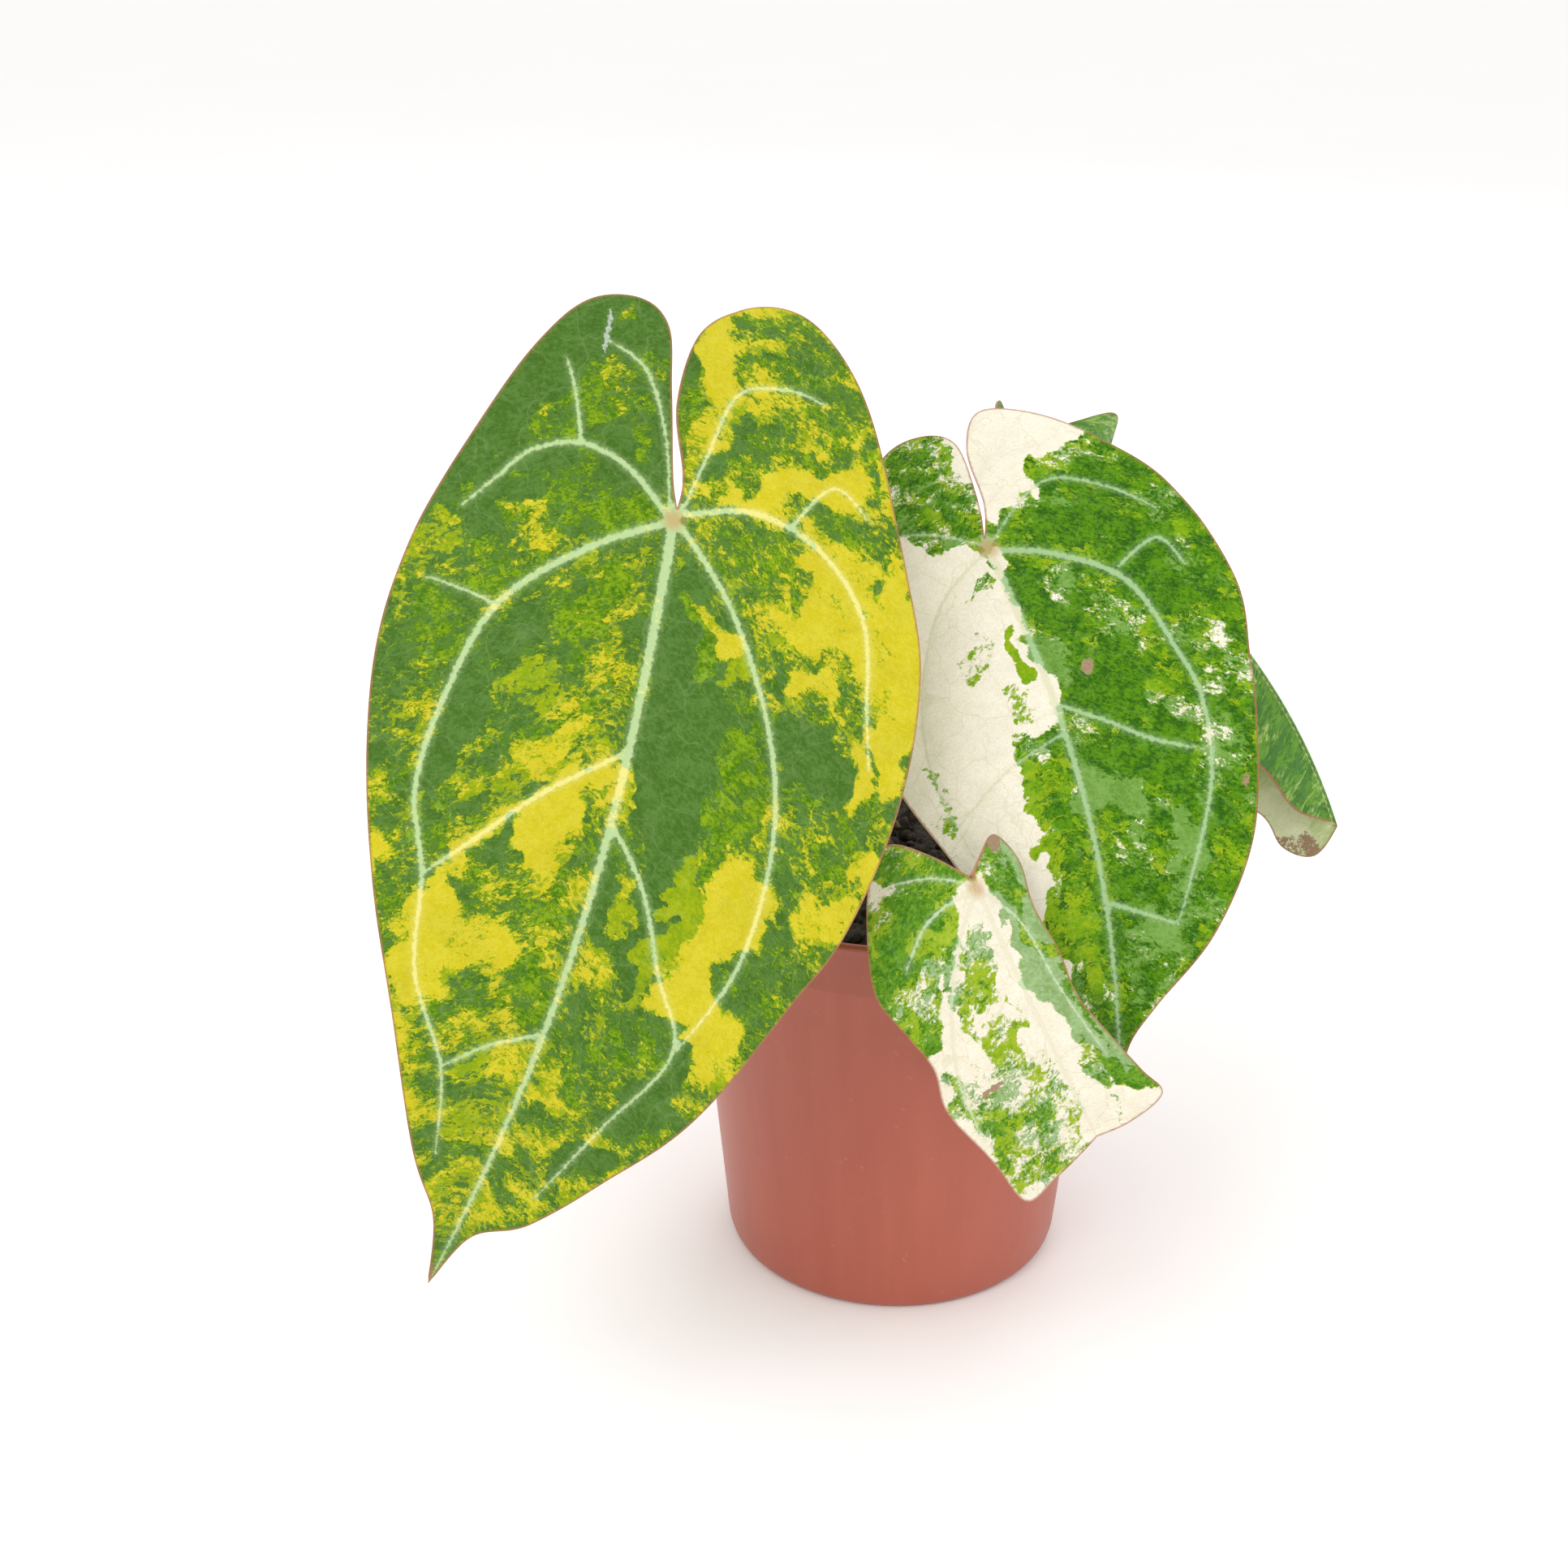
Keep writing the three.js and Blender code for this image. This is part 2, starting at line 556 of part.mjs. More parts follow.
// A leaf blade: both faces split into the same triangles, a sunken vein line above and a raised
// rib below it, and a thin wall round the margin.
function makeBlade(leaf) {
  const steps = Math.round(leaf.length / VEIN_STEP);
  const midrib = [];
  for (let i = 0; i <= steps; i++) midrib.push(midribAt(leaf, (leaf.length * i) / steps));
  midrib[0].set(...leaf.left[0]);
  const veins = leaf.veins.map((route) => flatLine(route, VEIN_STEP));
  const flat = [];
  const triangles = [];
  for (const side of ["left", "right"]) {
    const half = halfPoints(leaf, side, midrib, veins);
    const places = half.points.map((p) => {
      const known = flat.findIndex((q) => q.distanceTo(p) < 1e-6);
      return known >= 0 ? known : flat.push(p) - 1;
    });
    for (const [a, b, c] of triangulate(half.points)) {
      const middle = half.points[a].clone().add(half.points[b]).add(half.points[c]);
      if (isInside(middle.divideScalar(3), half.outline)) {
        triangles.push([places[a], places[b], places[c]]);
      }
    }
  }
  const lines = [midrib, ...veins];
  const upper = [];
  const lower = [];
  for (const p of flat) {
    const away = Math.min(...lines.map((line) => distanceToLine(p, line)));
    const rib = Math.max(0, 1 - away / RIB_HALF_WIDTH);
    const pillow = PILLOW * (1 - Math.exp(-((away / PILLOW_REACH) ** 2)));
    const normal = bladeNormal(leaf, p.x, p.y);
    const middle = bladePoint(leaf, p.x, p.y).addScaledVector(normal, pillow - PILLOW);
    upper.push(...middle.clone().addScaledVector(normal, BLADE / 2 - GROOVE * rib).toArray());
    lower.push(...middle.clone().addScaledVector(normal, -BLADE / 2 - RIB_DEPTH * rib).toArray());
  }
  const count = flat.length;
  const index = [];
  const open = new Map();
  for (const [a, b, c] of triangles) {
    const turn = (flat[b].x - flat[a].x) * (flat[c].y - flat[a].y);
    const back = (flat[b].y - flat[a].y) * (flat[c].x - flat[a].x);
    const corners = turn > back ? [a, c, b] : [a, b, c];
    index.push(...corners, ...corners.toReversed().map((k) => k + count));
    corners.forEach((p, k) => {
      const q = corners[(k + 1) % 3];
      if (!open.delete(q + "," + p)) open.set(p + "," + q, [p, q]);
    });
  }
  for (const [p, q] of open.values()) index.push(q, p, p + count, q, p + count, q + count);
  return indexed([...upper, ...lower], index);
}

// The petioles, in the order of their leaves: where each leaves the crown's centre, the points it
// passes on the way up, and its radius where it meets the blade.
const PETIOLES = [
  { leaf: 0, from: [-10.2, -6], via: [[-34, -8, 165], [-50, -28, 205]], neck: 1.9 },
  { leaf: 1, from: [9.3, 3], via: [[4, 17, 155], [12, 13, 181]], neck: 1.9 },
  { leaf: 2, from: [-2, -10.6], via: [[-14, -28, 139], [-4, -56, 138]], neck: 0.5 },
  { leaf: 3, from: [2, 10.6], via: [[-2, 40, 150], [26, 58, 170]], neck: 0.8 },
];

// A petiole ends on the underside of its blade, thicker at the base and at the knee below the blade.
function makePetiole({ leaf, from, via, neck }) {
  const blade = LEAVES[leaf];
  const normal = bladeNormal(blade, 0, 0);
  const under = BLADE / 2 + RIB_DEPTH + PILLOW + FIT_GAP;
  const end = bladePoint(blade, 0, 0).addScaledVector(normal, -under);
  const knee = end.clone().addScaledVector(normal, -KNEE_LENGTH);
  const start = [CROWN_AT.x + from[0], CROWN_AT.y + from[1], SOIL_LEVEL + 12];
  const rise = [CROWN_AT.x + from[0] * 1.3, CROWN_AT.y + from[1] * 1.3, SOIL_LEVEL + 22];
  const route = [start, rise, ...via, knee.toArray(), end.toArray()];
  const radii = [2.6, 2.3, PETIOLE_RADIUS, PETIOLE_RADIUS, KNEE_RADIUS, neck];
  return stalk(route, radii, PETIOLE_SIDES, PETIOLE_STEPS);
}

function mesh(name, geometry, color, roughness) {
  const material = new THREE.MeshStandardMaterial({ color, roughness, metalness: 0, flatShading: true });
  const made = new THREE.Mesh(geometry, material);
  made.name = name;
  return made;
}

const BLADE_COLORS = [0x6f9426, 0x8fb070, 0x9dba78, 0x5d9440];
const group = new THREE.Group();
group.add(mesh("pot", makePot(), 0xa5523f, 0.45));
group.add(mesh("soil", makeSoil(), 0x2b2724, 0.95));
group.add(mesh("crown", makeCrown(), 0x7a6a45, 0.8));
LEAVES.forEach((leaf, i) => {
  group.add(mesh("blade_" + leaf.name, makeBlade(leaf), BLADE_COLORS[i], 0.6));
  group.add(mesh("petiole_" + leaf.name, makePetiole(PETIOLES[i]), 0x7f9a4a, 0.6));
});

export default group;
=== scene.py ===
# %% [markdown]
# # A potted crystal anthurium with variegated leaves
#
# This lesson dresses a plain solid model of a house plant until it looks like the real one: a
# terracotta-coloured nursery pot, crumbly soil, the plant's short crown, four petioles and four
# heart-shaped leaf blades. The solid model is loaded first and is never changed. Each new piece
# stands where its plain solid stands, so nothing has to be fitted by eye.
# The solid model is all selected when it comes in, and an operator works on whatever is selected.
# So everything is deselected at once, and the size of the plain model is kept for later.

import math

import bpy
import numpy as np
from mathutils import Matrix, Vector, geometry, noise


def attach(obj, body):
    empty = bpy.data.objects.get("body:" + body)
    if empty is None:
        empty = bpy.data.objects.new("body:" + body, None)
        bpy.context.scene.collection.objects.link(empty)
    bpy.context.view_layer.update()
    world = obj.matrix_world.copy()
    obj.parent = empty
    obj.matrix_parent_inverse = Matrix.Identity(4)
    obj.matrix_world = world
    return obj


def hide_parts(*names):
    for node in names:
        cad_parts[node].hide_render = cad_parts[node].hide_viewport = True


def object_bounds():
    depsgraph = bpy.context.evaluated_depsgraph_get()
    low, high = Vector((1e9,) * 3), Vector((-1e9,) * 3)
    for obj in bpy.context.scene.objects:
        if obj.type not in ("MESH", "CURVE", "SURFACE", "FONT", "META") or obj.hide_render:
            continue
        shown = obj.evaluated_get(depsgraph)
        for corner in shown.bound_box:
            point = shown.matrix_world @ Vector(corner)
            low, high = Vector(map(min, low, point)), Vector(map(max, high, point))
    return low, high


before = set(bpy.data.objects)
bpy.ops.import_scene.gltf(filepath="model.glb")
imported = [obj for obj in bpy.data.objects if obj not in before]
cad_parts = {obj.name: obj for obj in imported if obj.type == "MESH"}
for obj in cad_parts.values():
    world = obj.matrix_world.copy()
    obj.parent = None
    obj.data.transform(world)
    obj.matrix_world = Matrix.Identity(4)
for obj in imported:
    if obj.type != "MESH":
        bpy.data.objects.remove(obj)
solid_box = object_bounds()
MM = 0.001


def deselect_all():
    bpy.ops.object.select_all(action="DESELECT")
    bpy.context.view_layer.objects.active = None


deselect_all()
print("plain pieces:", ", ".join(sorted(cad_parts)))

# %% [markdown]
# ## Camera, floor and light
#
# The photograph looks down on the plant at 25 degrees through a fairly long lens. A camera with the
# same tilt and lens, at the same distance, shows every piece at the same size and place, and then
# the eye can compare the two pictures. The lens is worked out from the picture: a square picture
# 1932 pixels wide whose focal length is 3000 pixels needs a lens of 36 mm x 3000 / 1932.

# %% Make the camera
PICTURE = 1932
FOCAL_PIXELS = 3000
SENSOR = 36.0
CAMERA_AT = (-0.030, -0.571, 0.3992)
LOOK_DOWN = math.radians(25)

bpy.ops.object.camera_add(location=CAMERA_AT, rotation=(math.pi / 2 - LOOK_DOWN, 0, 0))
camera = bpy.context.object
camera.name = "camera"
camera.data.sensor_width = SENSOR
camera.data.lens = SENSOR * FOCAL_PIXELS / PICTURE
camera.data.clip_start, camera.data.clip_end = 0.01, 50
bpy.context.scene.camera = camera
print(f"lens {camera.data.lens:.1f} mm, looking down {math.degrees(LOOK_DOWN):.0f} degrees")

# %% [markdown]
# Soft light from large lamps shows the quilted surface of a leaf without hard shadows. A big lamp
# above and to the left gives the shape, a weaker one on the right opens the shadows, and a third
# behind draws a thin bright rim. The pale floor and the pale surroundings do the rest, as white card
# does in a photo studio.

# %% Make the floor and the lamps
FLOOR_SIZE = 12.0
SURROUNDINGS = 1.0
PLANT_MIDDLE = (-0.01, -0.02, 0.15)


def lamp(name, place, size, watts):
    """A square lamp, turned towards the middle of the plant."""
    bpy.ops.object.light_add(type="AREA", location=place)
    made = bpy.context.object
    made.name = name
    made.data.size = size
    made.data.energy = watts
    made.rotation_euler = (Vector(PLANT_MIDDLE) - Vector(place)).to_track_quat("-Z", "Y").to_euler()


bpy.ops.mesh.primitive_plane_add(size=FLOOR_SIZE, location=(0, 0, 0))
floor = bpy.context.object
floor.name = "floor"
lamp("lamp_key", (-0.55, -0.75, 1.05), 0.8, 6)
lamp("lamp_fill", (0.95, -0.65, 0.55), 0.9, 2)
lamp("lamp_rim", (0.35, 0.95, 0.85), 0.7, 2.5)
world = bpy.data.worlds.new("studio")
bpy.context.scene.world = world
world.use_nodes = True
background = world.node_tree.nodes["Background"]
background.inputs["Color"].default_value = (1, 1, 1, 1)
background.inputs["Strength"].default_value = SURROUNDINGS
bpy.context.scene.view_settings.view_transform = "Standard"
deselect_all()

# %% [markdown]
# ## Shader maths as plain sums
#
# A finish is a network of nodes. Wiring it by hand is slow to read, so a small class wraps an output
# socket and overloads the operators: `1 - mask * 0.5` then adds the two Math nodes that work it out.
# Every other node comes from one method, which takes the node's type, its settings and the values or
# links of its sockets. Colours are mixed by Mix nodes, because a Math node would turn them grey.

# %% Wrap a socket


class Wire:
    """An output socket that can be used in sums."""

    def __init__(self, finish, socket):
        self.finish, self.socket = finish, socket

    def sum(self, operation, first, second):
        return self.finish.node("ShaderNodeMath", {"operation": operation}, {0: first, 1: second})

    def __add__(self, other):
        return self.sum("ADD", self, other)

    def __sub__(self, other):
        return self.sum("SUBTRACT", self, other)

    def __rsub__(self, other):
        return self.sum("SUBTRACT", other, self)

    def __mul__(self, other):
        return self.sum("MULTIPLY", self, other)

    def __neg__(self):
        return self.sum("MULTIPLY", self, -1)

    def larger(self, other):
        return self.sum("MAXIMUM", self, other)

    def step(self, low, high):
        """0 below low, 1 above high and a soft rise between them."""
        settings = {"interpolation_type": "SMOOTHSTEP"}
        return self.finish.node(
            "ShaderNodeMapRange", settings, {"Value": self, "From Min": low, "From Max": high}
        )

    __radd__ = __add__
    __rmul__ = __mul__


print("a wire can be used with + - * and a minus sign, and has the methods larger and step")

# %% [markdown]
# The second class wraps a material. Its method `node` adds any node, and the short methods below it
# are for the nodes that come up again and again. A colour is given as it is read on a screen.

# %% Wrap a material


class Finish:
    """A material, and the one way to add a node to it."""

    def __init__(self, name, **shader_values):
        self.material = bpy.data.materials.new(name)
        self.material.use_nodes = True
        self.tree = self.material.node_tree
        self.shader = self.tree.nodes["Principled BSDF"]
        for socket, value in shader_values.items():
            self.shader.inputs[socket.replace("_", " ")].default_value = value

    def node(self, kind, settings=None, sockets=None, out=0):
        made = self.tree.nodes.new(kind)
        for name, value in (settings or {}).items():
            setattr(made, name, value)
        for name, value in (sockets or {}).items():
            if isinstance(value, Wire):
                self.tree.links.new(value.socket, made.inputs[name])
            else:
                made.inputs[name].default_value = value
        return Wire(self, made.outputs[out])

    def mix(self, share, first, second):
        """The colour first where share is 0 and second where it is 1."""
        settings = {"data_type": "RGBA", "clamp_factor": True}
        return self.node("ShaderNodeMix", settings, {0: share, 6: first, 7: second}, out=2)

    def place(self):
        """Where a point is on the object, in metres."""
        return self.node("ShaderNodeTexCoord", out=3)

    def attribute(self, name, out=2):
        return self.node("ShaderNodeAttribute", {"attribute_name": name}, out=out)

    def noise(self, vector, scale, detail=3.0, roughness=0.5):
        sockets = {"Vector": vector, "Scale": scale, "Detail": detail, "Roughness": roughness}
        return self.node("ShaderNodeTexNoise", None, sockets)

    def vector(self, operation, *inputs, out=0):
        settings = {"operation": operation}
        return self.node("ShaderNodeVectorMath", settings, dict(enumerate(inputs)), out)

    def stretched(self, upwards):
        """The object's place with its height squeezed, which draws a noise out upwards."""
        return self.node("ShaderNodeMapping", None, {"Vector": self.place(), "Scale": (1, 1, upwards)})

    def bump(self, height, strength, distance):
        sockets = {"Height": height, "Strength": strength, "Distance": distance}
        return self.node("ShaderNodeBump", None, sockets)

    def set(self, **wires):
        for socket, wire in wires.items():
            self.tree.links.new(wire.socket, self.shader.inputs[socket.replace("_", " ")])
        return self.material


def rgb(red, green, blue):
    """A colour as read on a screen, 0 to 255, as the linear colour that a shader needs."""
    def linear(value):
        share = value / 255
        return share / 12.92 if share <= 0.04045 else ((share + 0.055) / 1.055) ** 2.4
    return (linear(red), linear(green), linear(blue), 1.0)


print("terracotta as a linear colour:", [round(c, 3) for c in rgb(165, 82, 63)[:3]])

# %% [markdown]
# The floor is plain white card. A perfectly even colour looks unreal, so a broad noise moves it
# between two near whites. It is the smallest example of a finish made with the class above.

# %% Finish the floor
paper = Finish("pale_floor", Roughness=0.7)
unevenness = paper.noise(paper.place(), 6.0)
paper.set(Base_Color=paper.mix(unevenness, rgb(249, 248, 247), rgb(252, 251, 250)))
floor.data.materials.append(paper.material)
print("floor finish:", paper.material.name)

# %% [markdown]
# ## The pot
#
# The pot is one thin moulded wall: a body that widens upwards, a straight band below the lip, a
# rolled lip and a recessed base with drain holes. It could be turned with the Screw modifier or spun
# from a drawn profile. Here a ring of edges is extruded and resized from one radius and height to
# the next, as a potter pulls up a wall, because each row of the list can then be measured on the pot.

# %% Turn rings into a closed shape
POT_HEIGHT = 116
RIM_RADIUS = 58
SHOULDER = 101.5
BAND_FOOT = 57.2
BASE_RADIUS = 45
BODY_TOP = 54.4
WALL = 1.6
FOOT_RECESS = 1.5
INSIDE_FLOOR = 3.9
LIP, FOOT, STEP = 1.2, 3, 0.5
MIDDLE = 2
POT_SIDES = 144


def turned(name, profile, sides):
    """A closed shape round Z: a ring of edges pulled along the (radius, height) rows of a profile."""
    deselect_all()
    (radius, height), *rows = profile
    bpy.ops.mesh.primitive_circle_add(vertices=sides, radius=radius * MM, location=(0, 0, height * MM))
    made = bpy.context.object
    made.name = name
    bpy.ops.object.transform_apply(location=True)
    bpy.ops.object.mode_set(mode="EDIT")
    bpy.ops.mesh.select_all(action="SELECT")
    bpy.ops.mesh.edge_face_add()
    bpy.ops.mesh.poke()
    made.data.update()
    bpy.ops.mesh.select_all(action="DESELECT")
    bpy.ops.object.mode_set(mode="OBJECT")
    for vertex in made.data.vertices:
        vertex.select = vertex.co.xy.length > 0.5 * radius * MM
    for edge in made.data.edges:
        edge.select = all(made.data.vertices[i].select for i in edge.vertices)
    bpy.ops.object.mode_set(mode="EDIT")
    for next_radius, next_height in rows:
        lift = {"value": (0, 0, (next_height - height) * MM)}
        bpy.ops.mesh.extrude_region_move(TRANSFORM_OT_translate=lift)
        widen = next_radius / radius
        bpy.ops.transform.resize(value=(widen, widen, 1), center_override=(0, 0, 0))
        radius, height = next_radius, next_height
    bpy.ops.mesh.edge_face_add()
    bpy.ops.mesh.poke()
    bpy.ops.mesh.select_all(action="SELECT")
    bpy.ops.mesh.normals_make_consistent(inside=False)
    bpy.ops.object.mode_set(mode="OBJECT")
    return made


def body_radius(height):
    return BASE_RADIUS + (BODY_TOP - BASE_RADIUS) * height / SHOULDER


def arc(centre, radius, start, end, steps=6):
    """Rows of a rounded edge, from one angle in degrees to another, 0 pointing outwards."""
    turns = [math.radians(start + (end - start) * i / steps) for i in range(steps + 1)]
    return [(centre[0] + radius * math.cos(t), centre[1] + radius * math.sin(t)) for t in turns]


print("the body is", round(body_radius(0)), "mm in radius at the base and", BODY_TOP, "mm at the band")

# %% [markdown]
# The rows go from the middle of the pot's floor up the inside, over the lip, and down the outside to
# the middle of the base. Round edges are arcs of a few rows. The drain holes are drilled last, with a
# Boolean modifier that takes a cylinder away.

# %% Pull up the pot
inside = [(r, INSIDE_FLOOR) for r in (MIDDLE, 20, body_radius(INSIDE_FLOOR) - WALL - 2)]
inside += [(body_radius(z) - WALL, z) for z in (6, 30, 60, 90, 99.5)]
inside += [(BAND_FOOT - WALL, SHOULDER + 3), (BAND_FOOT - WALL, POT_HEIGHT - 2)]
lip = arc((RIM_RADIUS - LIP, POT_HEIGHT - LIP), LIP, 150, -40)
band = [(RIM_RADIUS - 0.8, POT_HEIGHT - 3.4), (BAND_FOOT, SHOULDER + 1.2)]
step = arc((BAND_FOOT - STEP, SHOULDER + STEP), STEP, 0, -90, 3)
body = [(body_radius(SHOULDER) + 0.6, SHOULDER), (body_radius(SHOULDER), SHOULDER - 0.8)]
body += [(body_radius(z), z) for z in (90, 70, 50, 30, 12, 4)]
foot = arc((BASE_RADIUS - FOOT, FOOT), FOOT, -10, -90)
under = [(38, 0), (37, FOOT_RECESS), (13, FOOT_RECESS), (12, 0), (MIDDLE, 0)]
pot = turned("nursery_pot", inside + lip + band + step + body + foot + under, POT_SIDES)

DRAIN_HOLES, DRAIN_RADIUS, DRAIN_CIRCLE, DRILL_LENGTH = 8, 4 * MM, 27 * MM, 20 * MM
for i in range(DRAIN_HOLES):
    angle = 2 * math.pi * (i + 0.5) / DRAIN_HOLES
    place = (DRAIN_CIRCLE * math.cos(angle), DRAIN_CIRCLE * math.sin(angle), 0)
    deselect_all()
    bpy.ops.mesh.primitive_cylinder_add(
        vertices=24, radius=DRAIN_RADIUS, depth=DRILL_LENGTH, location=place
    )
    drill = bpy.context.object
    bpy.context.view_layer.objects.active = pot
    cut = pot.modifiers.new("drain", "BOOLEAN")
    cut.object, cut.operation, cut.solver = drill, "DIFFERENCE", "EXACT"
    bpy.ops.object.modifier_apply(modifier="drain")
    bpy.data.objects.remove(drill)


def pick(piece):
    """Selects one piece alone, for the operators that follow."""
    deselect_all()
    piece.select_set(True)
    bpy.context.view_layer.objects.active = piece


def shade(piece, degrees):
    """Smooth shading, except across edges sharper than this."""
    pick(piece)
    bpy.ops.object.shade_smooth_by_angle(angle=math.radians(degrees))
    deselect_all()


shade(pot, 35)
print("pot:", len(pot.data.polygons), "faces,", [round(x / MM, 1) for x in pot.dimensions], "mm")

# %% [markdown]
# The plastic is a dull brick red, a little paler where it has been rubbed. One even colour would
# look like paint. Here a cloudy noise mixes two reds, and a noise drawn out upwards adds pale and
# dark upright streaks, a painted reflection of the light on the pot's faint vertical flutes, which
# the same noise also raises a little as a bump. Small scuffs lie on top. The helper below then gives
# each piece what it is made of, hangs it on the body it rides on and hides the plain solid that
# it stands for.

# %% Give the pot its plastic


def dress(piece, slot, node, *materials):
    """Gives a piece its materials, hangs it on the body it rides on and hides the plain solid it replaces.
    """
    for material in materials:
        piece.data.materials.append(material)
    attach(piece, "root")
    if node:
        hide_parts(node)


plastic = Finish("pot_plastic", Roughness=0.42)
grain = plastic.noise(plastic.place(), 900.0, 2.0)
cloud = plastic.noise(plastic.place(), 22.0, 4.0)
# Drawn out upwards: in the colour a painted reflection on the faint vertical flutes, in the bump the flutes
# themselves.
flutes_and_reflections = plastic.noise(plastic.stretched(0.04), 150.0, 3.0, 0.6)
scuffs = plastic.noise(plastic.place(), 260.0, 6.0, 0.8).step(0.62, 0.7)
# The upright streaks of painted reflection are mixed into the two reds here.
colour = plastic.mix(cloud * 0.5 + flutes_and_reflections * 0.5, rgb(150, 70, 50), rgb(180, 94, 74))
colour = plastic.mix(scuffs * 0.35, colour, rgb(206, 150, 128))
plastic.set(
    Base_Color=colour,
    Roughness=0.30 + cloud * 0.16 + scuffs * 0.2,
    Normal=plastic.bump(grain + flutes_and_reflections * 3, 0.14, 0.0002),
)
dress(pot, "pot_plastic", "pot", plastic.material)
print("pot finish:", plastic.material.name)

# %% [markdown]
# ## The soil
#
# Black potting mix fills the pot to a finger's width below the lip. Its top is slightly mounded and
# lumpy. A smooth disc would look like felt, so a finely divided disc gets its lumps from a few waves
# and noises, and loose granules are scattered over it.

# %% Fill the pot with soil
SOIL_LEVEL = 109
SOIL_MOUND = 2.5
CRUMB = 1.5
SOIL_EDGE = 55.3
SOIL_GAP = 0.4
SOIL_STEP, SOIL_SIDES = 1.2, 160
LUMP, GRIT = 2.2, 0.9


def ease(low, high, value):
    """0 at low, 1 at high and a soft rise between them."""
    share = np.clip((value - low) / (high - low), 0, 1)
    return share * share * (3 - 2 * share)


def soil_height(x, y):
    """Height of the lumpy mound at a point, in millimetres."""
    r = np.hypot(x, y)
    calm = 1 - 0.6 * ease(RIM_RADIUS - 14, RIM_RADIUS - 6, r)
    lumps = np.sin(0.55 * x + 1.3 * np.sin(0.31 * y)) * np.sin(0.49 * y + 1.1 * np.sin(0.37 * x))
    lumps = lumps + 0.6 * np.sin(1.07 * x + 0.8 * y) * np.sin(0.93 * y - 0.5 * x)
    return SOIL_LEVEL + SOIL_MOUND * (1 - (r / RIM_RADIUS) ** 2) + 0.5 * CRUMB * lumps * calm


soil_floor = INSIDE_FLOOR + 0.3
rows = [(r, SOIL_LEVEL) for r in np.arange(SOIL_STEP, SOIL_EDGE, SOIL_STEP)]
rows += [(SOIL_EDGE, 106), (SOIL_EDGE, 105), (body_radius(99) - WALL - SOIL_GAP, 98.6)]
rows += [(body_radius(z) - WALL - SOIL_GAP, z) for z in (60, 20, soil_floor)]
soil = turned("potting_soil", rows + [(MIDDLE, soil_floor)], SOIL_SIDES)
for vertex in soil.data.vertices:
    x, y, z = (c / MM for c in vertex.co)
    if z > SOIL_LEVEL - 0.5:
        rough = 0.7 * noise.noise((x / LUMP, y / LUMP, 3)) + 0.35 * noise.noise((x / GRIT, y / GRIT, 7))
        vertex.co.z = (soil_height(x, y) + rough) * MM
shade(soil, 60)
print("soil:", len(soil.data.polygons), "faces")

# %% [markdown]
# Damp potting mix is nearly black, with paler crumbs and a few brown damp patches. The same finish
# serves the loose granules, because they are the same stuff.

# %% Finish the soil
earth = Finish("soil_mix", Roughness=0.95)
specks = earth.noise(earth.place(), 900.0, 5.0, 0.7)
damp = earth.noise(earth.place(), 90.0, 3.0)
brown = earth.mix(specks.step(0.35, 0.75), rgb(30, 26, 23), rgb(84, 70, 58))
brown = earth.mix(damp.step(0.55, 0.8) * 0.6, brown, rgb(52, 40, 30))
earth.set(Base_Color=brown, Normal=earth.bump(specks, 0.8, 0.0006))
dress(soil, "soil", "soil", earth.material)
print("soil finish:", earth.material.name)

# %% [markdown]
# The granules are modelled once, in four shapes, and copied. Each shape is a ball of few faces
# pushed in and out by a noise. Every copy is turned and scaled by the same seeded dice, so the soil
# looks the same each time the script runs.

# %% Scatter the granules
GRANULES, GRANULE_SHAPES = 620, 4
FINE, COARSE, EVERY_COARSE = (0.55, 1.5), (1.6, 2.5), 6
FULL_TURN = 6.28
dice = np.random.default_rng(7)
shapes = []
for kind in range(GRANULE_SHAPES):
    bpy.ops.mesh.primitive_ico_sphere_add(subdivisions=2, radius=1.0, location=(0, 0, 0))
    lump = bpy.context.object
    for vertex in lump.data.vertices:
        vertex.co *= 1 + 0.45 * noise.noise(vertex.co * 1.3 + Vector((kind * 7.1, 0, 0)))
    shapes.append(lump)
copies = []
for i in range(GRANULES):
    radius = (SOIL_EDGE - 2.0) * math.sqrt(dice.random())
    angle = 2 * math.pi * dice.random()
    x, y = radius * math.cos(angle), radius * math.sin(angle)
    size = dice.uniform(*(FINE if i % EVERY_COARSE else COARSE))
    granule = shapes[i % GRANULE_SHAPES].copy()
    granule.data = granule.data.copy()
    bpy.context.collection.objects.link(granule)
    granule.scale = [size * MM * dice.uniform(0.7, 1.2) for _ in range(3)]
    granule.rotation_euler = [dice.uniform(0, FULL_TURN) for _ in range(3)]
    granule.location = (x * MM, y * MM, (soil_height(x, y) + 0.25 * size) * MM)
    copies.append(granule)
for lump in shapes:
    bpy.data.objects.remove(lump)


def joined(name, parts):
    """One object from several, at the origin, with its place in its mesh."""
    deselect_all()
    for part in parts:
        part.select_set(True)
    bpy.context.view_layer.objects.active = parts[0]
    bpy.ops.object.join()
    made = bpy.context.object
    made.name = name
    bpy.ops.object.transform_apply(location=True, rotation=True, scale=True)
    return made


granules = joined("soil_granules", copies)
shade(granules, 50)
dress(granules, "soil", None, earth.material)
print("granules:", GRANULES, "with", len(granules.data.polygons), "faces")

# %% [markdown]
# ## The crown
#
# The leaves spring from a short thick stem wrapped in pointed papery sheaths, with stubby roots that
# reach down into the soil. The plain solid already has this shape, only with large flat faces. A
# copy of it is merged, remeshed into small even faces and smoothed, as a lump of clay is rubbed down.

# %% Round off the crown


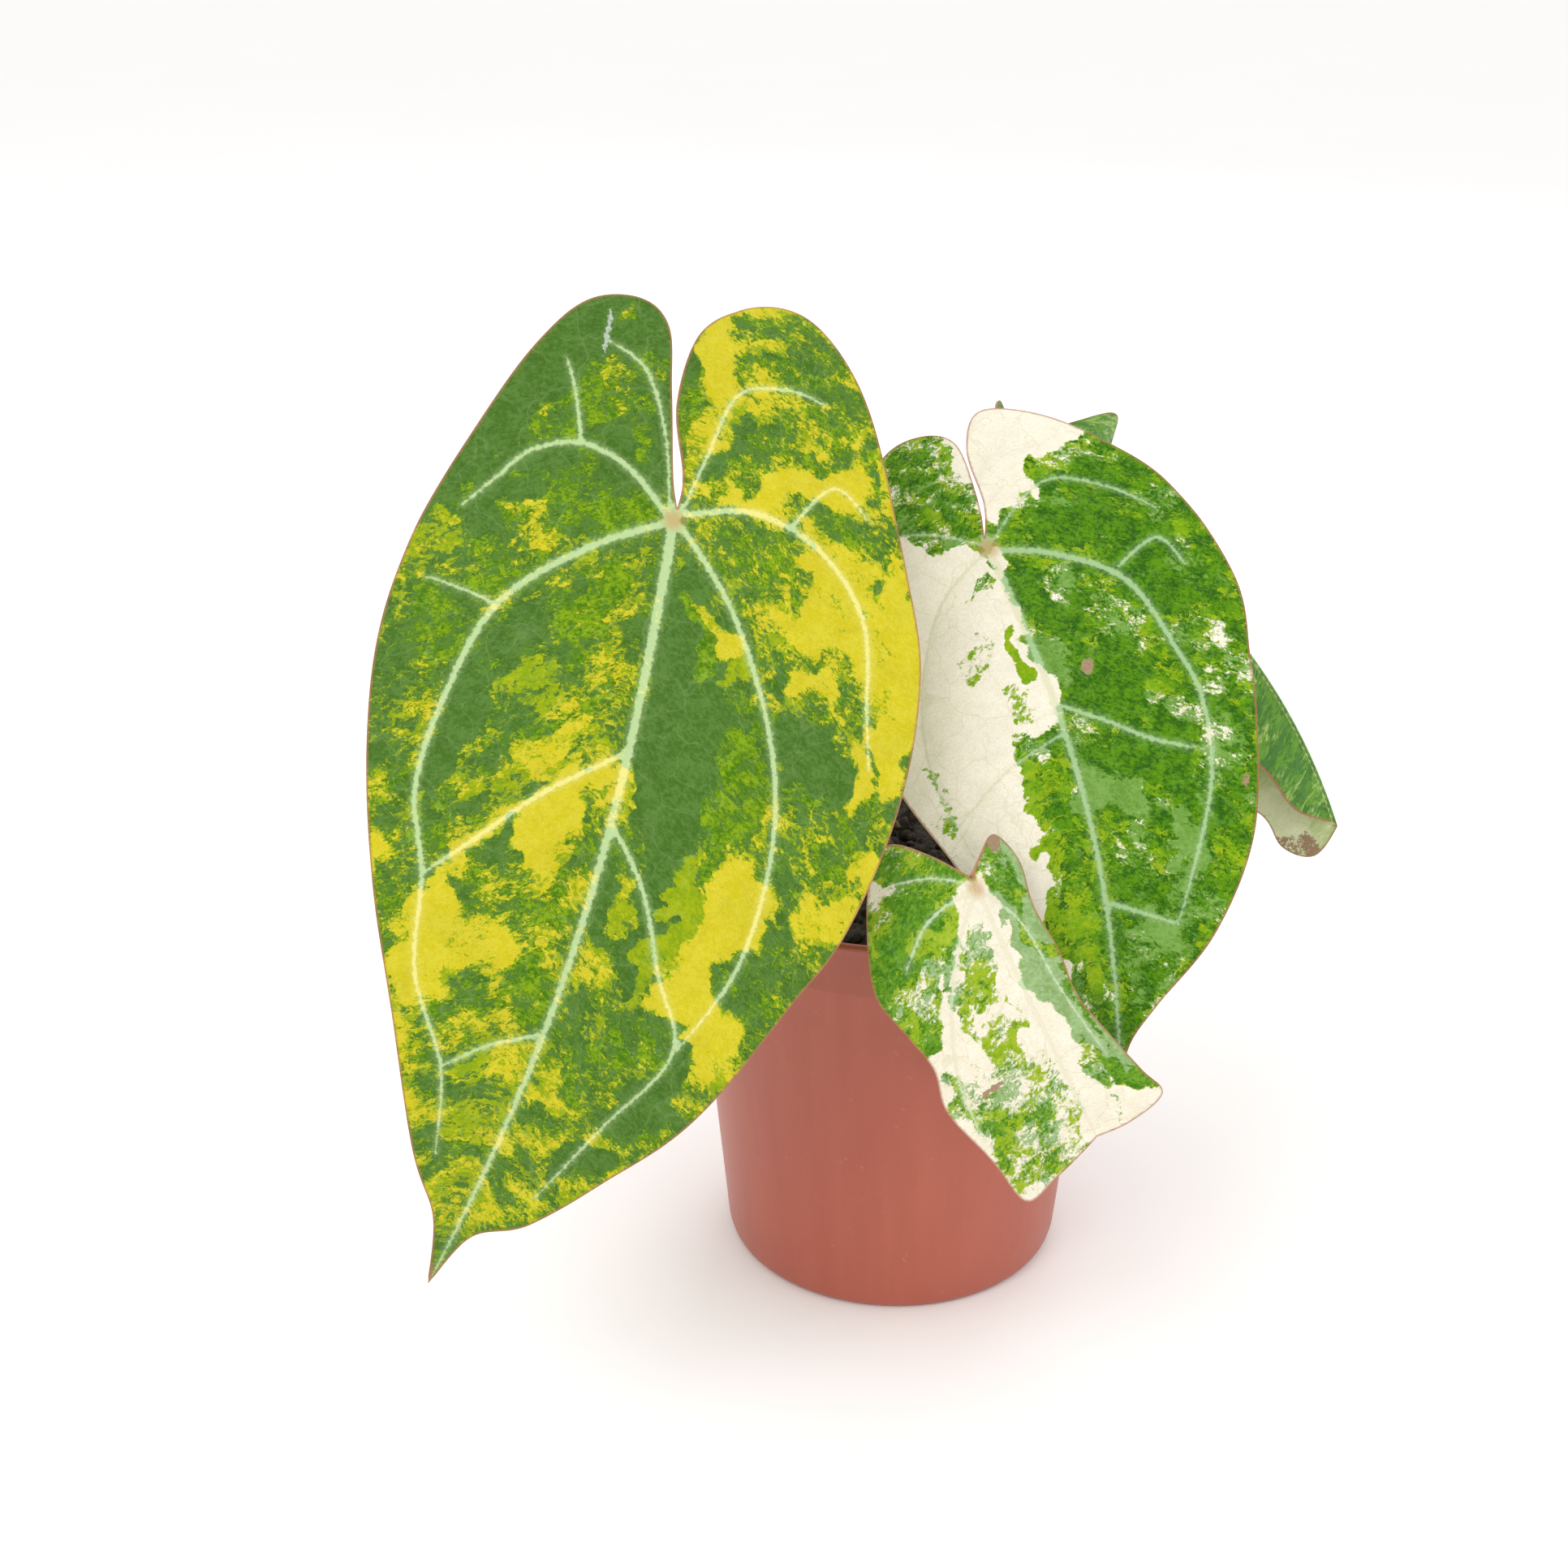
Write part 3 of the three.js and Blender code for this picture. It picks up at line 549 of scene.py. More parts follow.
def copy_of_solid(node, name):
    """A merged copy of a plain solid, which itself stays as it is."""
    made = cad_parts[node].copy()
    made.data = made.data.copy()
    made.name = name
    made.parent = None
    for key in list(made.keys()):
        del made[key]
    bpy.context.collection.objects.link(made)
    made.data.materials.clear()
    pick(made)
    bpy.ops.object.mode_set(mode="EDIT")
    bpy.ops.mesh.select_all(action="SELECT")
    bpy.ops.mesh.remove_doubles(threshold=0.00001)
    bpy.ops.mesh.tris_convert_to_quads()
    bpy.ops.object.mode_set(mode="OBJECT")
    return made


def apply_modifier(piece, kind, **settings):
    pick(piece)
    modifier = piece.modifiers.new("shape", kind)
    for name, value in settings.items():
        setattr(modifier, name, value)
    bpy.ops.object.modifier_apply(modifier="shape")


crown = copy_of_solid("crown", "plant_crown")
apply_modifier(crown, "REMESH", mode="VOXEL", voxel_size=0.7 * MM)
apply_modifier(crown, "SMOOTH", factor=0.5, iterations=6)
shade(crown, 80)
print("crown:", len(crown.data.polygons), "faces")

# %% [markdown]
# The sheaths are dry and brown with upright fibres, and green where they still live. A noise drawn
# out upwards gives the fibres, and a broad one the green patches.

# %% Finish the crown
husk = Finish("crown_husk", Roughness=0.8)
fibres = husk.noise(husk.stretched(0.15), 700.0, 4.0, 0.6)
patches = husk.noise(husk.place(), 120.0, 3.0)
colour = husk.mix(fibres.step(0.35, 0.7), rgb(74, 56, 34), rgb(150, 124, 82))
colour = husk.mix(patches.step(0.5, 0.65) * 0.6, colour, rgb(104, 118, 58))
husk.set(Base_Color=colour, Normal=husk.bump(fibres, 0.6, 0.0004))
dress(crown, "crown", "crown", husk.material)
print("crown finish:", husk.material.name)

# %% [markdown]
# ## The petioles
#
# A petiole is the round stalk of a leaf. It leaves the crown, arches out under the weight of the
# blade and swells at the knee below it. The plain stalks have eight flat sides, and a Subdivision
# Surface modifier rounds them off without moving their route. Their skin is green, with a few fine
# reddish streaks.

# %% Round off the petioles
skin = Finish("petiole_skin", Roughness=0.42)
streaks = skin.noise(skin.place(), 260.0, 4.0, 0.6)
broad = skin.noise(skin.place(), 40.0, 2.0)
colour = skin.mix(broad.step(0.35, 0.65), rgb(112, 134, 58), rgb(150, 160, 92))
colour = skin.mix(streaks.step(0.6, 0.75) * 0.5, colour, rgb(134, 92, 66))
skin.set(Base_Color=colour, Normal=skin.bump(streaks, 0.25, 0.0002))
for node in sorted(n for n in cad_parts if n.startswith("petiole_")):
    stalk = copy_of_solid(node, node.replace("petiole", "stalk"))
    apply_modifier(stalk, "SUBSURF", levels=2, render_levels=2)
    shade(stalk, 60)
    dress(stalk, "petiole", node, skin.material)
    print(stalk.name, len(stalk.data.polygons), "faces")

# %% [markdown]
# ## The leaf blades
#
# A blade is thin, heart-shaped and quilted, and no two are alike. It is drawn flat first, in
# millimetres from the point where the petiole joins it: u to the right and v towards the tip. Then it
# is bent into place by the droop along the midrib, the curl of the two lobes, and the fold and roll of
# each half. The drawn lines are the margin of each half and the main veins.
#
# Each leaf also says where its junction with the petiole is, which way the midrib starts along, and
# which way the upper side faces. A vein has its breadth at the start and at the end, then its route.

# %% Draw the large yellow leaf
LEAVES = {}
LEAVES["large_yellow"] = {
    "junction": (-54.7, -49.2, 221.6),
    "along": (-0.271, -0.59, -0.761),
    "face": (0.17, -0.807, 0.565),
    "length": 195, "droop": 0.0038, "curl": -0.007, "bow": 7.5, "wave": 1.0,
    "fold": ((-0.13, -0.13), (-0.13, -0.13)), "roll": (0.0045, 0.0045),
    "left": [
        (0, -3), (-3, -10), (-9, -30), (-14, -46), (-22, -51), (-33, -46), (-41, -31), (-48, -8),
        (-54, 19), (-55, 44), (-50, 69), (-39, 100), (-26, 128), (-13, 158), (-4, 174), (0, 195),
    ],
    "right": [
        (0, -3), (-1, -11), (-7, -27), (-7, -46), (0, -58), (10, -63), (20, -60), (32, -47),
        (43, -28), (54, -5), (64, 17), (68, 44), (65, 78), (58, 98), (45, 131), (31, 151),
        (18, 168), (6, 177), (0, 195),
    ],
    "veins": [
        (0.4, 0.8, [(-1, 0), (-7, -18), (-16, -33), (-26, -37)]),
        (1.2, 0.5, [(-1, 0), (-13, -8), (-25, -10), (-35, -5), (-41, 4), (-46, 12)]),
        (0.7, 0.4, [(-25, -10), (-30, -22), (-34, -29)]),
        (1.3, 0.5, [(-1, 1), (-17, 13), (-32, 31), (-37, 54), (-37, 75), (-30, 93), (-25, 115),
                    (-13, 135), (-8, 157)]),
        (0.6, 0.3, [(-32, 31), (-43, 30), (-49, 30)]),
        (0.9, 0.8, [(5, 54), (-10, 68), (-22, 83), (-30, 93)]),
        (0.8, 0.6, [(7, 121), (-4, 127), (-13, 135)]),
        (0.5, 0.8, [(1, -1), (3, -17), (6, -35), (17, -40), (26, -39)]),
        (1.2, 0.6, [(2, -2), (17, -7), (34, -3), (48, 10), (55, 30), (59, 41)]),
        (0.7, 0.4, [(26, -7), (33, -19), (43, -14)]),
        (1.0, 0.7, [(2, 1), (19, 17), (35, 41), (43, 65), (44, 92), (37, 114)]),
        (0.8, 0.4, [(7, 70), (18, 82), (27, 99), (36, 116), (26, 139), (17, 161)]),
    ],
    "midrib": (1.7, 0.5),
}
print("large_yellow:", len(LEAVES["large_yellow"]["veins"]), "veins beside the midrib")

# %% [markdown]
# The middle leaf is drawn in the same way. It is a little broader for its length, and its midrib is
# bowed to the right too.

# %% Draw the middle leaf
LEAVES["middle_white"] = {
    "junction": (19.4, -12, 202),
    "along": (0.226, -0.708, -0.669),
    "face": (-0.036, -0.692, 0.721),
    "length": 143, "droop": 0.0046, "curl": -0.007, "bow": 7, "wave": 1.0,
    "fold": ((-0.14, -0.14), (-0.14, -0.14)), "roll": (0.0055, 0.0055),
    "left": [
        (0, -3), (1, -14), (0, -31), (-8, -35), (-19, -30), (-30, -12), (-37, 13), (-39, 41),
        (-35, 57), (-27, 75), (-21, 92), (-12, 114), (-2, 132), (0, 143),
    ],
    "right": [
        (0, -3), (2, -12), (2, -28), (8, -39), (21, -34), (35, -22), (47, -6), (56, 22),
        (54, 42), (51, 58), (44, 84), (30, 104), (13, 118), (4, 128), (0, 143),
    ],
    "veins": [
        (0.4, 0.7, [(1, -1), (12, -11), (21, -14), (33, -8), (42, 0)]),
        (1.2, 0.6, [(1, 1), (15, 6), (30, 17), (37, 35), (40, 50), (36, 72), (22, 100)]),
        (0.6, 0.6, [(29, 13), (40, 8), (45, 16)]),
        (0.8, 0.7, [(5, 42), (16, 49), (26, 56), (37, 61)]),
        (1.0, 0.5, [(6, 91), (15, 96), (22, 100)]),
        (0.5, 0.3, [(-1, -1), (-12, -6), (-24, -8)]),
        (0.5, 0.3, [(-1, 1), (-15, 13), (-25, 34), (-27, 54), (-22, 74)]),
        (0.4, 0.3, [(5, 50), (-10, 56), (-24, 66)]),
    ],
    "midrib": (1.4, 0.4),
}
print("middle_white:", len(LEAVES["middle_white"]["veins"]), "veins beside the midrib")

# %% [markdown]
# The small leaf has its right half folded and rolled back, so the two numbers of a fold differ: the
# first holds at the lobes, the second further down. Its right margin is drawn along the cut.

# %% Draw the small leaf
LEAVES["small_cut"] = {
    "junction": (14.2, -77, 142.8),
    "along": (0.416, -0.331, -0.847),
    "face": (-0.18, -0.943, 0.28),
    "length": 67, "droop": 0.0037, "curl": -0.004, "bow": 0, "wave": 0.8,
    "fold": ((-0.15, -0.15), (1.0, 0.4)), "roll": (0.012, 0.004),
    "left": [
        (0, -2), (-7, -11), (-15, -17), (-22, -12), (-28, -1), (-33, 14), (-30, 26), (-28, 36),
        (-30, 48), (-25, 64), (-22, 75), (-13, 72), (0, 67),
    ],
    "right": [
        (0, -2), (5, -6), (12, -9), (15, -1), (12, 10), (12, 22), (11, 34), (14, 47), (17, 58),
        (19, 66), (9, 68), (0, 67),
    ],
    "veins": [
        (0.5, 0.3, [(-1, -1), (-9, -6), (-18, -8)]),
        (0.7, 0.3, [(-1, 0), (-14, 3), (-24, 12)]),
        (0.7, 0.4, [(-1, 1), (-9, 10), (-18, 25), (-24, 42), (-25, 58)]),
        (0.5, 0.3, [(1, 1), (7, 12), (8, 30), (11, 50)]),
    ],
    "midrib": (0.9, 0.6),
}
print("small_cut:", len(LEAVES["small_cut"]["veins"]), "veins beside the midrib")

# %% [markdown]
# The rear leaf hangs away from the camera. Both its halves fold down along the midrib, and more so
# towards the tip.

# %% Draw the rear leaf
LEAVES["rear_folded"] = {
    "junction": (49, 67, 190),
    "along": (0.848, -0.357, -0.392),
    "face": (0.497, 0.28, 0.821),
    "length": 118, "droop": 0.0063, "curl": 0.03, "bow": 0, "wave": 1.2, "long_streaks": 0.4,
    "fold": ((0.1, 0.95), (-1.0, 1.35)), "roll": (0.004, 0.004),
    "left": [
        (0, -3), (-4, -14), (-10, -23), (-18, -29), (-28, -23), (-36, -5), (-38, 18), (-37, 42),
        (-31, 66), (-22, 84), (-16, 98), (-12, 111), (0, 118),
    ],
    "right": [
        (0, -3), (3, -13), (9, -19), (19, -20), (32, -17), (40, -2), (42, 22), (43, 46), (41, 70),
        (34, 92), (20, 108), (17, 120), (9, 125), (0, 118),
    ],
    "veins": [
        (0.5, 0.3, [(-1, -1), (-10, -13), (-19, -20)]),
        (0.8, 0.4, [(-1, 1), (-18, 10), (-28, 30), (-27, 55), (-17, 82)]),
        (0.5, 0.3, [(1, -1), (10, -9), (22, -14)]),
        (0.8, 0.4, [(1, 1), (18, 10), (30, 30), (31, 55), (24, 84)]),
    ],
    "midrib": (1.3, 0.5),
}
print("leaves:", {name: leaf["length"] for name, leaf in LEAVES.items()}, "mm from knee to tip")

# %% [markdown]
# The same few sums bend every leaf. Working on whole arrays of points at once keeps them fast. The
# direction that a face looks in comes from two short steps over the surface and their cross product.

# %% Bend a flat point into space
FOLD_FROM, FOLD_TO = -20, 40
WAVE_SPACING, WAVE_SHARE = 9, 0.3


def unit(vector):
    return np.asarray(vector, float) / np.linalg.norm(vector)


def midrib_at(leaf, v):
    """How far to the right the bowed midrib lies at each v."""
    return leaf["bow"] * np.sin(math.pi * np.clip(v / leaf["length"], 0, 1))


def bent(leaf, u, v):
    """Places in millimetres of the flat points (u, v)."""
    along = unit(leaf["along"])
    face = np.asarray(leaf["face"], float)
    face = unit(face - (face @ along) * along)
    across = np.cross(face, along)
    rib = midrib_at(leaf, v)
    right = u >= rib
    sign = np.where(right, 1.0, -1.0)
    reach = np.abs(u - rib)
    share = ease(FOLD_FROM, FOLD_TO, v)
    folds = [a + (b - a) * share for a, b in leaf["fold"]]
    fold = np.where(right, folds[1], folds[0])
    roll = np.where(right, leaf["roll"][1], leaf["roll"][0])
    out = (np.sin(fold + roll * reach) - np.sin(fold)) / roll
    outwards = reach / (WAVE_SHARE * leaf["length"])
    wave = leaf["wave"] * np.sin(v / WAVE_SPACING + sign) * ease(0.3, 1, outwards)
    rise = (np.cos(fold + roll * reach) - np.cos(fold)) / roll + wave
    bend = np.where(v >= 0, leaf["droop"], -leaf["curl"])
    forward = np.sin(bend * v) / bend + rise * np.sin(bend * v)
    upward = -(1 - np.cos(bend * v)) / bend + rise * np.cos(bend * v)
    return (
        np.asarray(leaf["junction"], float)
        + forward[:, None] * along
        + upward[:, None] * face
        + (rib + sign * out)[:, None] * across
    )


def facing(leaf, u, v, small=0.5):
    """The direction that the upper side looks in at each flat point."""
    rib = midrib_at(leaf, v)
    along_v = bent(leaf, u, v + small) - bent(leaf, u, v - small)
    # A step to the side stays on its half, and at the midrib it takes in both.
    near = np.abs(u - rib) < small
    high = np.where(near, rib + 2 * small, u + 0.9 * small)
    low = np.where(near, rib - 2 * small, u - 0.9 * small)
    normal = np.cross(along_v, bent(leaf, high, v) - bent(leaf, low, v))
    return normal / np.linalg.norm(normal, axis=1)[:, None]


print("first leaf's tip:", bent(LEAVES["large_yellow"], np.zeros(1), np.full(1, 195.0)).round(1))

# %% [markdown]
# Margins and veins are drawn with a few points each, and a smooth curve through them gives the real
# line. Two more helpers say how far points are from a line and which of them an outline holds.

# %% Draw smooth lines and measure from them
CURVE_STEPS = 24
FAR, TINY = 1e9, 1e-9


def smooth_line(points, spacing):
    """Evenly spaced points on the smooth curve through a few drawn ones."""
    p = np.array(points, float)
    p = np.vstack([p[0], p, p[-1]])
    t = np.linspace(0, 1, CURVE_STEPS, endpoint=False)[:, None]
    pieces = []
    for a, b, c, d in zip(p, p[1:], p[2:], p[3:]):
        turn = (2 * a - 5 * b + 4 * c - d) * t**2 + (-a + 3 * b - 3 * c + d) * t**3
        pieces.append(0.5 * (2 * b + (c - a) * t + turn))
    curve = np.vstack(pieces + [p[-1:]])
    length = np.concatenate([[0], np.cumsum(np.linalg.norm(np.diff(curve, axis=0), axis=1))])
    even = np.linspace(0, length[-1], max(2, round(length[-1] / spacing)) + 1)
    return np.stack([np.interp(even, length, curve[:, k]) for k in (0, 1)], axis=1)


def distance_to(line, points):
    """How far each point is from a line of points, and where along it the nearest place is."""
    best = np.full(len(points), FAR)
    where = np.zeros(len(points))
    for i, (a, b) in enumerate(zip(line, line[1:])):
        span = b - a
        t = np.clip(((points - a) @ span) / max(span @ span, TINY), 0, 1)
        away = np.linalg.norm(points - a - t[:, None] * span, axis=1)
        nearer = away < best
        best[nearer] = away[nearer]
        where[nearer] = ((i + t) / (len(line) - 1))[nearer]
    return best, where


def inside_of(outline, points):
    """Which points lie inside a closed outline."""
    inside = np.zeros(len(points), bool)
    for a, b in zip(outline, np.roll(outline, 1, axis=0)):
        crosses = (a[1] > points[:, 1]) != (b[1] > points[:, 1])
        rise = b[1] - a[1] if b[1] != a[1] else TINY
        inside ^= crosses & (points[:, 0] < (b[0] - a[0]) * (points[:, 1] - a[1]) / rise + a[0])
    return inside


print("points on the first margin:", len(smooth_line(LEAVES["large_yellow"]["left"], 1.0)))

# %% [markdown]
# ## The marbling
#
# A variegated leaf has two layers of cells, and each layer is either green or has lost its green. So
# there are four tones: both layers green is the darkest, the upper layer alone is a fresh green, the
# lower layer alone shows through as a soft green, and neither is yellow or cream. Noise alone would
# put the patches anywhere. Here large and small dabs are painted one over the other, first the
# washes and then the details, as in water colours. A dab is an ellipse with a soft edge: its middle
# (u, v), half its width and length, how green the upper and the lower layer are, from -100 for none
# to 100 for solid, and if it leans, how far to the right in degrees. A field has the two greens first
# and then its corners. The finish breaks up what lies in between.

# %% Dab the large yellow leaf
YELLOW_DABS = [
    (0, 60, 200, 300, 40, 35),
    (-40, -45, [(0, -4), (-5, -20), (-9, -35), (-7, -50), (8, -70), (30, -60), (50, -28), (62, -2),
     (46, 2), (32, -4), (17, -9)]),
    (-45, -40, [(6, 54), (-10, 68), (-22, 83), (-30, 94), (-34, 104), (-28, 118), (-14, 130), (3, 124),
     (7, 100), (8, 76)]),
    # The left lobe: dark, with a fresher middle.
    (-28, -22, 26, 34, 85, 75), (-25, -19, 7, 12, 80, -30, -10), (-18, -24, 3.5, 9, 40, 10, 15),
    (-13, -25, 4, 16, 50, 10, 10), (-8, -28, 3.5, 20, 90, 90), (-25, -45, 5, 3, 30, -30, 40),
    (-35, -15, 3, 5, 35, 10, 20), (-24, -31, 3, 5, 30, 10),
    # Between the upper left veins and along the left margin.
    (-22, 2, 8, 16, 80, 30, -70), (-10, 1, 4, 8, 90, -50, -80), (-50, 0, 5, 18, 90, 80),
    (-38, 8, 12, 9, 85, 50), (-33, 20, 8, 6, 70, -20), (-33, 11, 2.5, 4, 30, -30, 90),
    (-25.5, 10, 1.5, 6, -50, 10, 71), (-27, 13, 4, 4, 10, -40), (-48, 24, 5, 8, 5, 50),
    (-53, 33, 2.5, 5, -30, 0), (-42, 38, 8, 10, 70, -30), (-51, 49, 4, 8, 70, 60),
    (-50, 65, 5, 14, 50, 50), (-45, 63, 3, 4, 0, 30), (-46, 52, 3, 3, 0, 50),
    # Between the left vein and the midrib, above the branch.
    (-27, 38, 5, 12, 80, 60, -20), (-33, 58, 4, 16, 95, 80), (-31, 75, 4, 8, 90, 60),
    (-14, 22, 5, 9, 70, -10, -45), (-17, 19, 1.5, 5, -30, 10, -60), (-10, 28, 6, 14, 60, -60, -25),
    (-4.8, 22, 2.5, 8, -20, 60, -5), (-18, 45, 7, 12, -20, 80, -30), (-10, 40, 5, 10, 40, 0, -25),
    (-7.5, 44, 3, 13, -20, -10, -30), (-12, 54, 5, 10, 30, -20, -60), (-3, 48, 3, 8, 30, -10, -10),
    (-14, 60, 4, 14, -90, -50, -55), (-22, 68, 6, 8, -40, 60), (-24, 62, 4, 6, 50, 20),
    (-28, 78, 5, 8, 60, -20),
    # The pale field below the branch, with its green flecks.
    (-8, 72, 6, 18, -100, -100, -45), (-42, 94, 4, 10, -80, -80), (-25, 106, 5, 15, -90, -90),
    (-16, 82, 2.5, 6, 60, 50, -25), (-23, 95, 4, 3, 40, 30), (-8, 86, 6, 3, 30, 0),
    (3, 76, 3, 14, 65, -20, -2), (-10, 92, 10, 8, 25, -30, -20), (-6, 106, 3, 7, -90, -90, 60),
    (1, 111, 7, 9, 60, -30), (-13, 115, 5, 6, 60, 30), (-17, 124, 7, 4, 10, -30), (-46, 81, 4, 5, 0, -10),
    (-37, 104, 4, 12, 40, 20, 10),
    # The lower left and the tip.
    (-28, 124, 5, 8, 10, 0, 15), (-20, 140, 4, 12, 0, -10, 10), (-24, 133, 2, 8, -60, -40, 15),
    (-8, 135, 7, 7, 40, 30), (-5, 133, 4, 5, -30, 80), (-12, 148, 5, 8, 0, -10), (-6, 150, 4, 6, 10, 80),
    (0, 165, 10, 12, 20, 30),
    # The right lobe: yellow, mottled green.
    (19, -49, 9, 14, 50, 20, 50), (29, -40, 6, 10, 50, 20, 30), (38, -28, 3, 12, 50, 10, 30),
    (4, -55, 6, 4, 40, -10), (-3, -43, 5, 9, -90, -80, 10), (4, -43, 4, 5, -70, -80),
    (10.6, -51, 4, 3, -50, -40), (7, -44, 2.5, 3, 40, 0), (-4, -28, 3.5, 9, 60, -10, 10),
    (1, -25, 2, 5, -50, -20), (9, -29, 5, 7, -50, 30, 40), (21, -27, 6, 5, 40, 0),
    (26, -33, 6, 4, -10, -10), (7, -17, 3, 10, 70, 60, -27), (16, -17, 6, 6, 30, -10),
    (28, -22, 4, 4, 50, -10), (23, -14, 3.5, 16, -85, -80, -63), (37, -21, 4, 5, -80, -70),
    (39, -10, 6, 11, 50, 10, 78), (57, 10, 6, 14, -100, -100, 15), (64, 30, 5, 18, -100, -100, 5),
    # The yellow right side, with green blots that follow the veins.
    (40, 15, 14, 22, -70, -60, 30), (20, 4, 5, 13, 30, 0, 75), (31, 7, 4, 5, 50, 10, 70),
    (21.5, 14.5, 3, 4, 50, 0), (33, 19.5, 3, 9, 40, 10, 75), (50, 27, 4, 8, 35, 0, 60),
    (33, 27, 3, 7, 80, 70, 40), (42, 32, 4, 5, -30, -30, 40), (45, 41, 8, 9, 95, 90),
    (56, 44, 4, 8, -80, -80), (52, 38, 2, 4, 20, 0), (62, 52, 5, 6, 50, 0), (57, 60, 5, 7, 60, -20),
    (52, 62, 7, 10, 40, 20), (64, 66, 3, 7, -90, -90), (58, 76, 5, 6, -60, -50), (50, 84, 6, 9, 70, 50),
    (46, 76, 1.5, 6, -40, -40, 20), (47, 98, 6, 12, 70, 40, -20), (42, 112, 7, 10, -90, -70, -30),
    (37.5, 118.5, 4.5, 5, 95, 90), (33, 130, 5, 10, 80, 70, -45), (22, 150, 4, 10, 85, 80, -60),
    # The dark field right of the midrib.
    (15, 45, 10, 34, 100, 95, 8), (7, 20, 3, 12, 100, 90, 10), (30, 56, 7, 20, 85, -40, 8),
    (14, 25, 2.5, 10, 85, -60, 30), (16.5, 22, 2.5, 7, -85, -50, 43), (24, 31, 2.5, 5, -40, 80, 40),
    (20, 64, 6, 14, 100, 85, 5), (28, 85, 5, 14, -70, 90), (32, 72, 4, 6, 80, -50),
    (38, 82, 6, 12, -95, -90, -10), (35, 98, 6, 10, -90, -80, -10), (20, 84, 3, 12, 100, 90, 15),
    (10, 66, 2, 10, -20, 20, 10),
    # Between the midrib and the lower right branch.
    (10, 85, 6, 16, 50, 40, 10), (16, 89, 3, 8, -50, 50, 10), (14, 82, 2, 4, -60, -40),
    (21, 99, 3.5, 5, 95, 90), (24.5, 101, 2.5, 8, -60, 70, 10), (9, 90, 3, 10, 60, 70),
    (4, 95, 2.5, 10, 0, -20), (9, 106, 5, 10, 0, 30), (14, 115, 6, 10, 50, 50), (12, 106, 1.2, 5, -60, 0),
    (26, 118, 4, 8, 70, -30), (5, 128, 5, 10, -10, 20), (13, 135, 3, 8, -70, -30, 10),
    (18, 130, 5, 10, 50, 20), (20, 140, 5, 6, 30, -10), (8, 150, 5, 8, 20, 10), (14, 155, 4, 6, 0, 20),
]
print("dabs on the large yellow leaf:", len(YELLOW_DABS))

# %% [markdown]
# The middle leaf is white on its left half and green on its right one, as if it had been cut from two
# leaves. Fields draw that border, and dabs add the flecks that cross it.

